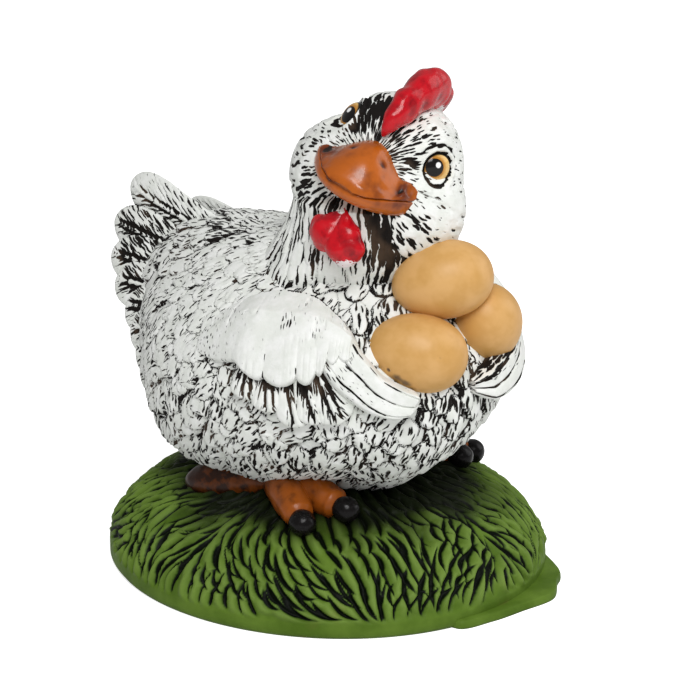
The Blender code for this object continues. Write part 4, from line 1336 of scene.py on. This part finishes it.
def show_camera(tree, plain, seen, output):
    """Sends one shader to the camera's own rays, and the plain one to all other rays."""
    camera_ray = add(tree, "ShaderNodeLightPath").outputs["Is Camera Ray"]
    pick = add(tree, "ShaderNodeMixShader", i_0=camera_ray, i_1=plain, i_2=seen)
    tree.links.new(pick.outputs[0], tree.nodes[output].inputs["Surface"])


def white_floor():
    """A wide pale floor that keeps the figurine's shadow, lifted to white for the camera."""
    low = BOTTOM.z - FLOOR_GAP
    corners = [(x * FLOOR_REACH, y * FLOOR_REACH, low) for x, y in ((-1, -1), (1, -1), (1, 1), (-1, 1))]
    mesh = bpy.data.meshes.new("floor")
    mesh.from_pydata(corners, [], [(0, 1, 2, 3)])
    floor = bpy.data.objects.new("floor", mesh)
    bpy.context.scene.collection.objects.link(floor)
    material, tree, shader = new_material("pale_floor", 0.9, specular=0.1)
    shader.inputs["Base Color"].default_value = (0.93, 0.93, 0.93, 1.0)
    glow = add(tree, "ShaderNodeEmission", Color=(1, 1, 1, 1), Strength=0.72)
    both = add(tree, "ShaderNodeAddShader", i_0=shader.outputs[0], i_1=glow.outputs[0])
    show_camera(tree, shader.outputs[0], both.outputs[0], "Material Output")
    mesh.materials.append(material)


def white_world():
    """Soft white light from all round, and plain white where the camera sees past the floor."""
    world = bpy.data.worlds.new("studio")
    bpy.context.scene.world = world
    world.use_nodes = True
    tree = world.node_tree
    background = tree.nodes["Background"]
    background.inputs["Color"].default_value = (1.0, 1.0, 1.0, 1.0)
    background.inputs["Strength"].default_value = 0.32
    backdrop = add(tree, "ShaderNodeBackground", Color=(1, 1, 1, 1), Strength=1.0)
    show_camera(tree, background.outputs[0], backdrop.outputs[0], "World Output")


def aim(item, place, target):
    """Puts a lamp or the camera at a place, looking at a target."""
    item.location = Vector(place)
    item.rotation_euler = (Vector(target) - Vector(place)).to_track_quat("-Z", "Y").to_euler()
    bpy.context.scene.collection.objects.link(item)


def add_lamp(name, place, size, power):
    """A square soft box aimed at the figurine."""
    lamp = bpy.data.lights.new(name, "AREA")
    lamp.size = size
    lamp.energy = power
    aim(bpy.data.objects.new(name, lamp), place, LAMP_TARGET)


def add_camera():
    """The photograph's view."""
    camera = bpy.data.cameras.new("camera")
    camera.sensor_width = 36.0
    camera.lens = FOCAL_PIXELS / FRAME_PIXELS * camera.sensor_width
    camera.clip_start = 0.01
    item = bpy.data.objects.new("camera", camera)
    aim(item, [a * MM for a in CAMERA_PLACE], [a * MM for a in CAMERA_TARGET])
    bpy.context.scene.camera = item


def main():
    """All the pieces, then the stage."""
    bpy.context.scene.view_settings.view_transform = "Standard"
    make_mound()
    make_flash()
    tips = body_tips()
    for side in (-1, 1):
        make_body(side, tips)
        make_tail(side)
        make_coverts(side)
        make_hand(side)
        make_secondaries(side)
        make_eye(side)
        make_foot(side)
    make_neck()
    make_head()
    make_bill(True)
    make_bill(False)
    make_comb()
    make_wattle(0)
    make_wattle(1)
    for name, (middle, axis) in EGGS.items():
        make_egg(name, middle, axis)
    white_floor()
    white_world()
    for name, lamp in LAMPS.items():
        add_lamp(name, *lamp)
    add_camera()


main()
